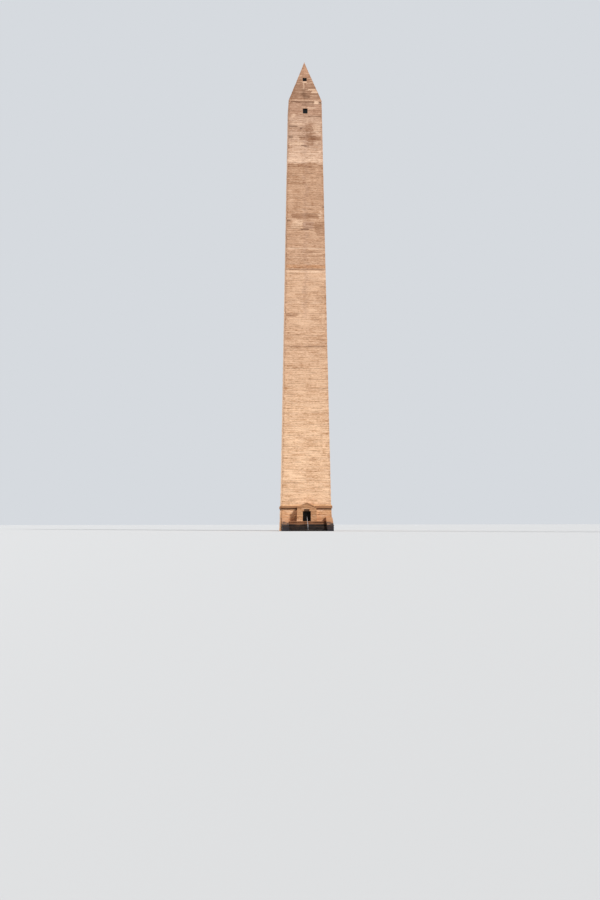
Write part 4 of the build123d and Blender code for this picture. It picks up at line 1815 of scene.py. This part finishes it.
@dataclass
class Shaft(SubAssembly):
    """The hollow shaft in the three stages of its pour."""

    stages: tuple[str, ...] = ("shaft_lower_stage", "shaft_middle_stage", "shaft_upper_stage")
    columns: int = 27
    columns_share: float = 0.94
    arris_shares: tuple[float, ...] = (0.0, 0.008, 0.024)

    def build(self) -> None:
        """Builds a ring for every stage, below the belt course too."""
        taper = Taper.of_nodes(*self.stages)
        shown_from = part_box("belt_course")[1].z
        for stage in self.stages:
            low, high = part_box(stage)
            levels = self.relief.levels(max(low.z, shown_from - self.relief.board / 2), high.z)
            self.add_ring(stage, [low.z, *levels, high.z], taper)

    def bore(self, stage: str) -> list[tuple[float, float]]:
        """The hollow's half width at each of its levels, from below.

        Args:
            stage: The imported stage.

        Returns:
            Pairs of half width and height.
        """
        points = node_points(stage)
        high = points[:, 2].max()
        inner = np.abs(points[:, :2]).max(axis=1)
        narrow = inner.min()
        rebate = points[(inner > narrow + WELD_DISTANCE) & (points[:, 2] < high - WELD_DISTANCE)]
        rebate = rebate[rebate[:, 2] > points[:, 2].min() + WELD_DISTANCE]
        if not len(rebate):
            return [(narrow, points[:, 2].min()), (narrow, high)]
        wide, seat = np.abs(rebate[:, :2]).max(), rebate[:, 2].min()
        return [(narrow, points[:, 2].min()), (narrow, seat), (wide, seat), (wide, high)]

    def plan(self) -> np.ndarray:
        """The corners of one row round the shaft, where half its width is 1.

        Returns:
            Two coordinates a corner, with as many corners on each side.
        """
        arris = 1 - np.array(self.arris_shares)
        inner = np.linspace(-self.columns_share, self.columns_share, self.columns)
        shares = np.concatenate((-arris, inner, arris[:0:-1]))
        side = np.column_stack((shares, -np.ones(len(shares))))
        quarter = np.array(((0, 1), (-1, 0)))
        return np.concatenate([side @ np.linalg.matrix_power(quarter, n) for n in range(4)])

    def add_ring(self, stage: str, levels: list[float], taper: Taper) -> None:
        """Builds one stage as a closed ring of boards round its hollow.

        Args:
            stage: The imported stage.
            levels: The heights of its rows.
            taper: The shaft's outer form.
        """
        around = self.plan()
        halves = taper.half(np.array(levels))
        flat = halves[:, None, None] * around[None]
        heights = np.repeat(levels, len(around))
        outer = taper.weathered(np.column_stack((flat.reshape(-1, 2), heights)), self.relief)
        corners = np.array(((-1, -1), (1, -1), (1, 1), (-1, 1)))
        bore = self.bore(stage)
        hollow = [(*corner * half, height) for half, height in bore for corner in corners]
        shape = bmesh.new()
        skin = [shape.verts.new(point) for point in outer]
        lining = [shape.verts.new(point) for point in hollow]
        count = len(around)
        for row, column in product(range(len(levels) - 1), range(count)):
            after = (column + 1) % count
            here, above = row * count, (row + 1) * count
            ring = (here + column, here + after, above + after, above + column)
            shape.faces.new([skin[number] for number in ring])
        for row, number in product(range(len(bore) - 1), range(4)):
            after = (number + 1) % 4
            here, above = row * 4, (row + 1) * 4
            ring = (here + after, here + number, above + number, above + after)
            shape.faces.new([lining[place] for place in ring])
        a_side = count // 4
        for number in range(4):
            after = (number + 1) % 4
            edge = [(number * a_side + step) % count for step in range(a_side + 1)]
            foot = [skin[place] for place in edge] + [lining[after], lining[number]]
            shape.faces.new(foot[::-1])
            last, bore_last = (len(levels) - 1) * count, (len(bore) - 1) * 4
            head = [skin[last + place] for place in edge]
            shape.faces.new(head + [lining[bore_last + after], lining[bore_last + number]])
        self.add(f"{stage}_cast", shape, stage)


@dataclass
class ObservationRoom(SubAssembly):
    """The room with windows below the shoulder, and its floor."""

    frame_edge: float = 0.0008

    def build(self) -> None:
        """Builds the four walls and dresses the floor, window frames and panes."""
        taper = Taper.of_nodes("shaft_lower_stage", "observation_front_wall")
        for side in SIDES:
            self.add_tower_casting(f"observation_{side}_wall", taper)
        self.add_softened("window_frames", self.frame_edge)
        for node in ("observation_floor", "loft_floor", "window_panes"):
            self.keep(node)


@dataclass
class Pyramid(SubAssembly):
    """The hollow pyramid and its solid cap."""

    cap_columns: int = 12

    def build(self) -> None:
        """Builds the four slopes and the cap."""
        taper = Taper.of_nodes("pyramid_front_slope", "pyramid_cap")
        for side in SIDES:
            self.add_tower_casting(f"pyramid_{side}_slope", taper)
        self.add_tower_casting("pyramid_cap", taper, self.cap_columns)


@dataclass
class Pedestal(SubAssembly):
    """The battered foundation and walls below the shaft, with the belt course."""

    walls: tuple[str, ...] = (
        "pedestal_front_left_wall",
        "pedestal_front_right_wall",
        "pedestal_front_lintel",
        "pedestal_left_wall",
        "pedestal_right_wall",
        "pedestal_rear_wall",
    )
    skin: float = 0.02

    def build(self) -> None:
        """Builds the footing, the walls and the ledge round the shaft's foot."""
        taper = Taper.of_nodes("foundation", "pedestal_right_wall", "pedestal_rear_wall")
        for node in ("foundation", "hall_floor", *self.walls):
            self.add_tower_casting(node, taper)
        self.add_tower_casting("belt_course", self.belt_form())

    def dress(self) -> None:
        """Dresses each piece, and the floor slab's outer rim like the walls that stand on it."""
        super().dress()
        slab = next(piece for piece in self.pieces if piece.name.startswith("hall_floor"))
        slab.data.materials.append(self.book.material(SLOT_OF["foundation"]))
        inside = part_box("hall_floor")[1].x - self.skin
        for face in slab.data.polygons:
            centre = face.center
            face.material_index = int(max(abs(centre.x), abs(centre.y)) > inside)

    def belt_form(self) -> Taper:
        """Reads the belt course's upright face and the slope above it.

        Returns:
            The form of its outer face.
        """
        low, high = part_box("belt_course")
        points = node_points("belt_course")
        outer = np.abs(points[:, :2]).max(axis=1)
        face_top = points[outer > high.x - WELD_DISTANCE, 2].max()
        inner = outer[points[:, 2] > high.z - WELD_DISTANCE].max()
        return Taper((low.z, face_top, high.z), (high.x, high.x, inner))


@dataclass
class Porch(SubAssembly):
    """The gabled entrance porch with its raking coping."""

    nodes: tuple[str, ...] = ("porch_left_jamb", "porch_right_jamb", "porch_gable", "porch_coping")
    spacing: float = 0.016
    edge: float = 0.0012
    level_relief: float = 0.0

    def build(self) -> None:
        """Builds the jambs, the gable and the coping."""
        for node in self.nodes:
            self.add_casting(node, self.spacing, self.edge, level=self.level_relief)


@dataclass
class Entrance(SubAssembly):
    """The pair of bronze doors in their frame, with the panel over them."""

    panel_rows: int = 3
    panel_depth: float = 0.0014
    rail: float = 0.01067
    bead_width: float = 0.0022
    bead_rise: float = 0.0013
    bead_side: float = 0.35
    bead_steps: int = 5
    edge: float = 0.0005

    def build(self) -> None:
        """Builds the frame and the leaves, and dresses the fittings."""
        self.add_softened("door_frame", self.edge)
        self.add_softened("transom_panel", self.edge)
        for leaf in ("door_left", "door_right"):
            self.add_softened(leaf, self.edge)
            self.add_mouldings(leaf)
            self.keep(f"{leaf}_fittings")
        self.keep("frame_hinges")

    def add_mouldings(self, leaf: str) -> None:
        """Lays a rounded bead inside every sunk panel, on both faces of a leaf.

        Args:
            leaf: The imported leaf.
        """
        low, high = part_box(leaf)
        rows = self.panel_rows
        height = (high.z - low.z - self.rail * (rows + 1)) / rows
        shape = bmesh.new()
        for row in range(rows):
            foot = low.z + self.rail + row * (height + self.rail)
            panel = (low.x + self.rail, high.x - self.rail, foot, foot + height)
            self.add_bead(shape, panel, low.y + self.panel_depth, -1)
            self.add_bead(shape, panel, high.y - self.panel_depth, 1)
        self.add(f"{leaf}_mouldings", shape, leaf, stands_for=False)

    def add_bead(
        self,
        shape: bmesh.types.BMesh,
        panel: tuple[float, float, float, float],
        sunk: float,
        outward: int,
    ) -> None:
        """Adds one bead that runs round a panel with mitred corners.

        Args:
            shape: The mesh to add to.
            panel: The panel's left, right, foot and head.
            sunk: Where the panel's face lies in depth.
            outward: The direction that the face looks in, 1 or -1.
        """
        left, right, foot, head = panel
        outline = [(0.0, 0.0)]
        for number in range(self.bead_steps):
            angle = math.pi * number / (self.bead_steps - 1)
            across = self.bead_width * (1 - math.cos(angle)) / 2
            round_share = self.bead_side + (1 - self.bead_side) * math.sin(angle)
            outline.append((across, self.bead_rise * round_share))
        outline.append((self.bead_width, 0.0))
        rings = []
        for inward, rise in outline:
            y = sunk + outward * rise
            spots = (
                (left + inward, foot + inward),
                (right - inward, foot + inward),
                (right - inward, head - inward),
                (left + inward, head - inward),
            )
            rings.append([shape.verts.new((x, y, z)) for x, z in spots])
        for ring, after in zip(rings, [*rings[1:], rings[0]]):
            for corner in range(4):
                far = (corner + 1) % 4
                shape.faces.new((ring[corner], ring[far], after[far], after[corner]))


@dataclass
class Stair(SubAssembly):
    """The broad stair with its landing, between cheek walls with copings."""

    step_spacing: float = 0.03
    wall_spacing: float = 0.025
    step_edge: float = 0.0022
    wall_edge: float = 0.003
    step_relief: float = 0.25

    def build(self) -> None:
        """Builds the bed, the steps, the landing and the cheek walls."""
        for node in ("stair_bed", "steps_odd", "steps_even", "landing_slab"):
            self.add_casting(node, self.step_spacing, self.step_edge, upright=self.step_relief)
        for node in ("cheek_wall_left", "cheek_wall_right", "cheek_copings"):
            self.add_casting(node, self.wall_spacing, self.wall_edge)


@dataclass
class Handrail(SubAssembly):
    """The central pipe rail with its bolted flanges and welds.

    The outlines give radius and height in bolt radii and bolt heights, and for the weld, past the
    pipe, in widths of the weld.
    """

    bolts: int = 4
    bolt_circle: float = 0.0052
    bolt_radius: float = 0.0012
    bolt_height: float = 0.0011
    washer: tuple[tuple[float, float], ...] = ((1.35, 0.0), (1.35, 0.25), (1.2, 0.32))
    head: tuple[tuple[float, float], ...] = ((1.0, 0.32), (1.0, 0.85), (0.82, 1.0))
    head_corners: int = 6
    weld: float = 0.0009
    weld_outline: tuple[tuple[float, float], ...] = ((1.0, 0.0), (0.7, 0.6), (0.0, 1.0))
    segments: int = 24
    rim_share: float = 0.9
    pipe_from: float = 0.02

    def build(self) -> None:
        """Dresses the pipes, and adds bolts and a weld to every flange."""
        self.keep("handrail_posts")
        self.keep("handrail_rails")
        shape = bmesh.new()
        for foot, flange_top, pipe in self.post_feet():
            self.add_fastenings(shape, Vector((*foot[:2], flange_top)), pipe)
        self.add("handrail_fastenings", shape, "handrail_posts", stands_for=False)

    def post_feet(self) -> list[tuple[Vector, float, float]]:
        """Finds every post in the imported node.

        Returns:
            The middle of each post's foot, its flange's top and its pipe's radius, in the order
            of the posts' places.
        """
        shape = node_shape("handrail_posts")
        waiting = set(shape.verts)
        found = []
        while waiting:
            island = [waiting.pop()]
            for vertex in island:
                near = {edge.other_vert(vertex) for edge in vertex.link_edges} & waiting
                waiting -= near
                island += near
            points = np.array(sorted(tuple(vertex.co) for vertex in island))
            lowest = points[:, 2].min()
            at_foot = points[:, 2] < lowest + WELD_DISTANCE
            middle = points[at_foot].mean(axis=0)
            reach = np.linalg.norm(points[:, :2] - middle[:2], axis=1)
            rim = self.rim_share * reach[at_foot].max()
            flange_top = points[reach > rim, 2].max()
            pipe = reach[points[:, 2] > lowest + self.pipe_from].min()
            found.append((Vector(middle), flange_top, pipe))
        shape.free()
        return sorted(found, key=lambda post: tuple(post[0]))

    def add_fastenings(self, shape: bmesh.types.BMesh, seat: Vector, pipe: float) -> None:
        """Adds the weld round a post's foot and the bolts in its flange.

        Args:
            shape: The mesh to add to.
            seat: The middle of the flange's top.
            pipe: The post's radius.
        """
        weld = [(pipe + out * self.weld, up * self.weld) for out, up in self.weld_outline]
        lathe(shape, seat, weld, self.segments)
        for number in range(self.bolts):
            angle = math.pi / 4 + 2 * math.pi * number / self.bolts
            offset = Vector((math.cos(angle), math.sin(angle), 0)) * self.bolt_circle
            lathe(shape, seat + offset, self.bolt_sized(self.washer), self.segments)
            lathe(shape, seat + offset, self.bolt_sized(self.head), self.head_corners)

    def bolt_sized(self, outline: Sequence[tuple[float, float]]) -> list[tuple[float, float]]:
        """Sizes an outline that is given in bolt radii and bolt heights."""
        return [(out * self.bolt_radius, up * self.bolt_height) for out, up in outline]


@dataclass(frozen=True)
class Lamp:
    """A far, soft lamp, placed by its turn from the porch towards the right and its height."""

    name: str
    azimuth: float
    elevation: float
    strength: float
    angle: float

    def build(self) -> None:
        """Hangs the lamp."""
        light = bpy.data.lights.new(self.name, "SUN")
        light.energy = self.strength
        light.angle = math.radians(self.angle)
        lamp = bpy.data.objects.new(self.name, light)
        azimuth, elevation = math.radians(self.azimuth), math.radians(self.elevation)
        flat = math.cos(elevation)
        towards = Vector(
            (flat * math.sin(azimuth), -flat * math.cos(azimuth), math.sin(elevation))
        )
        lamp.rotation_mode = "QUATERNION"
        lamp.rotation_quaternion = towards.to_track_quat("Z", "Y")
        bpy.context.scene.collection.objects.link(lamp)


@dataclass(frozen=True)
class Studio:
    """The plain floor, the light and the camera."""

    camera_across: float = -1.01
    camera_distance: float = 19.233
    eye_height: float = 0.144
    camera_pitch: float = 4.845
    camera_turn: float = 2.684
    camera_roll: float = -0.083
    lens: float = 35.0
    floor_radius: float = 260.0
    floor_rings: int = 96
    floor_color: Color = display_color(192, 193, 194)
    background: Color = display_color(214, 218, 223)
    lamps: tuple[Lamp, ...] = (
        Lamp("key", azimuth=45.0, elevation=40.0, strength=3.08, angle=6.0),
        Lamp("counter", azimuth=-125.0, elevation=35.0, strength=2.2, angle=24.0),
    )
    fill_strength: float = 0.32

    def build(self) -> None:
        """Builds the stage round the monument."""
        self.build_floor()
        for lamp in self.lamps:
            lamp.build()
        self.build_background()
        self.build_camera()
        bpy.context.scene.view_settings.view_transform = "Standard"

    def build_floor(self) -> None:
        """Lays a round, pale floor at ground level."""
        shape = bmesh.new()
        bmesh.ops.create_circle(
            shape, cap_ends=True, segments=self.floor_rings, radius=self.floor_radius
        )
        floor = bpy.data.objects.new("studio_floor", finished_mesh(shape, "studio_floor"))
        bpy.context.scene.collection.objects.link(floor)
        shading = Shading.begin("pale floor", Base_Color=self.floor_color, Roughness=0.9)
        floor.data.materials.append(shading.material)

    def build_background(self) -> None:
        """Lights the object evenly, and shows a plain pale background behind it."""
        world = bpy.data.worlds.new("studio")
        world.use_nodes = True
        world.node_tree.nodes.clear()
        graph = Graph(world.node_tree)
        path = graph.node("ShaderNodeLightPath", {})
        kinds = ("Is Camera Ray", "Is Glossy Ray", "Is Transmission Ray")
        seen, glossy, through = (Wire(graph, path.outputs[kind]) for kind in kinds)
        shown = graph.math("MAXIMUM", graph.math("MAXIMUM", seen, glossy), through)
        fill = (self.fill_strength, self.fill_strength, self.fill_strength, 1.0)
        color = graph.blend(shown, fill, self.background)
        light = graph.node("ShaderNodeBackground", {"Color": color, "Strength": 1.0})
        output = graph.node("ShaderNodeOutputWorld", {})
        world.node_tree.links.new(light.outputs[0], output.inputs["Surface"])
        bpy.context.scene.world = world

    def build_camera(self) -> None:
        """Sets the camera where the photograph was taken from, at the model's scale."""
        data = bpy.data.cameras.new("camera")
        data.lens = self.lens
        data.clip_end = 4 * self.floor_radius
        camera = bpy.data.objects.new("camera", data)
        back = math.sqrt(self.camera_distance**2 - self.camera_across**2)
        camera.location = (self.camera_across, -back, self.eye_height)
        degrees = (self.camera_pitch, self.camera_turn, self.camera_roll)
        pitch, turn, roll = (math.radians(angle) for angle in degrees)
        aim = Euler((math.pi / 2 + pitch, 0, -turn)).to_matrix() @ Matrix.Rotation(roll, 3, "Z")
        camera.rotation_euler = aim.to_euler()
        bpy.context.scene.collection.objects.link(camera)
        bpy.context.scene.camera = camera


def weathering() -> PourRelief:
    """The relief of this monument, with the broken places on its four sides.

    Returns:
        The relief, counted down from the shoulder.
    """
    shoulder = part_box("observation_front_wall")[1].z
    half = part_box("pyramid_front_slope")[1].x
    middle_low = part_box("shaft_middle_stage")[0].z
    scars = (
        Scar((half, -half, shoulder - 0.03), (0.05, 0.05, 0.022), 0.012),
        Scar((0.0, -half, shoulder - 0.035), (0.32, 0.05, 0.012), 0.006),
        Scar((-0.01, -half, 6.618), (0.11, 0.12, 0.012), 0.007),
        Scar((0.35, -half, 7.14), (0.04, 0.12, 0.03), 0.006),
        Scar((-half, -half, 8.73), (0.05, 0.06, 0.05), 0.006),
        Scar((0.44, 0.44, middle_low + 0.4), (0.05, 0.05, 0.04), 0.008),
        Scar((-0.4, 0.4, 7.6), (0.06, 0.06, 0.03), 0.007),
        Scar((0.1, half, shoulder - 0.3), (0.12, 0.05, 0.014), 0.006),
    )
    return PourRelief(shoulder, scars=scars)


def main() -> None:
    """Builds and dresses every part of the monument in order, then the studio."""
    logging.basicConfig(level=logging.INFO, format="%(message)s")
    relief = weathering()
    book = FinishBook(relief)
    for part in (Pedestal, Shaft, ObservationRoom, Pyramid, Porch, Entrance, Stair, Handrail):
        assembly = part(book, relief)
        assembly.build()
        assembly.dress()
        assembly.report()
    Studio().build()


if __name__ == "__main__":
    main()
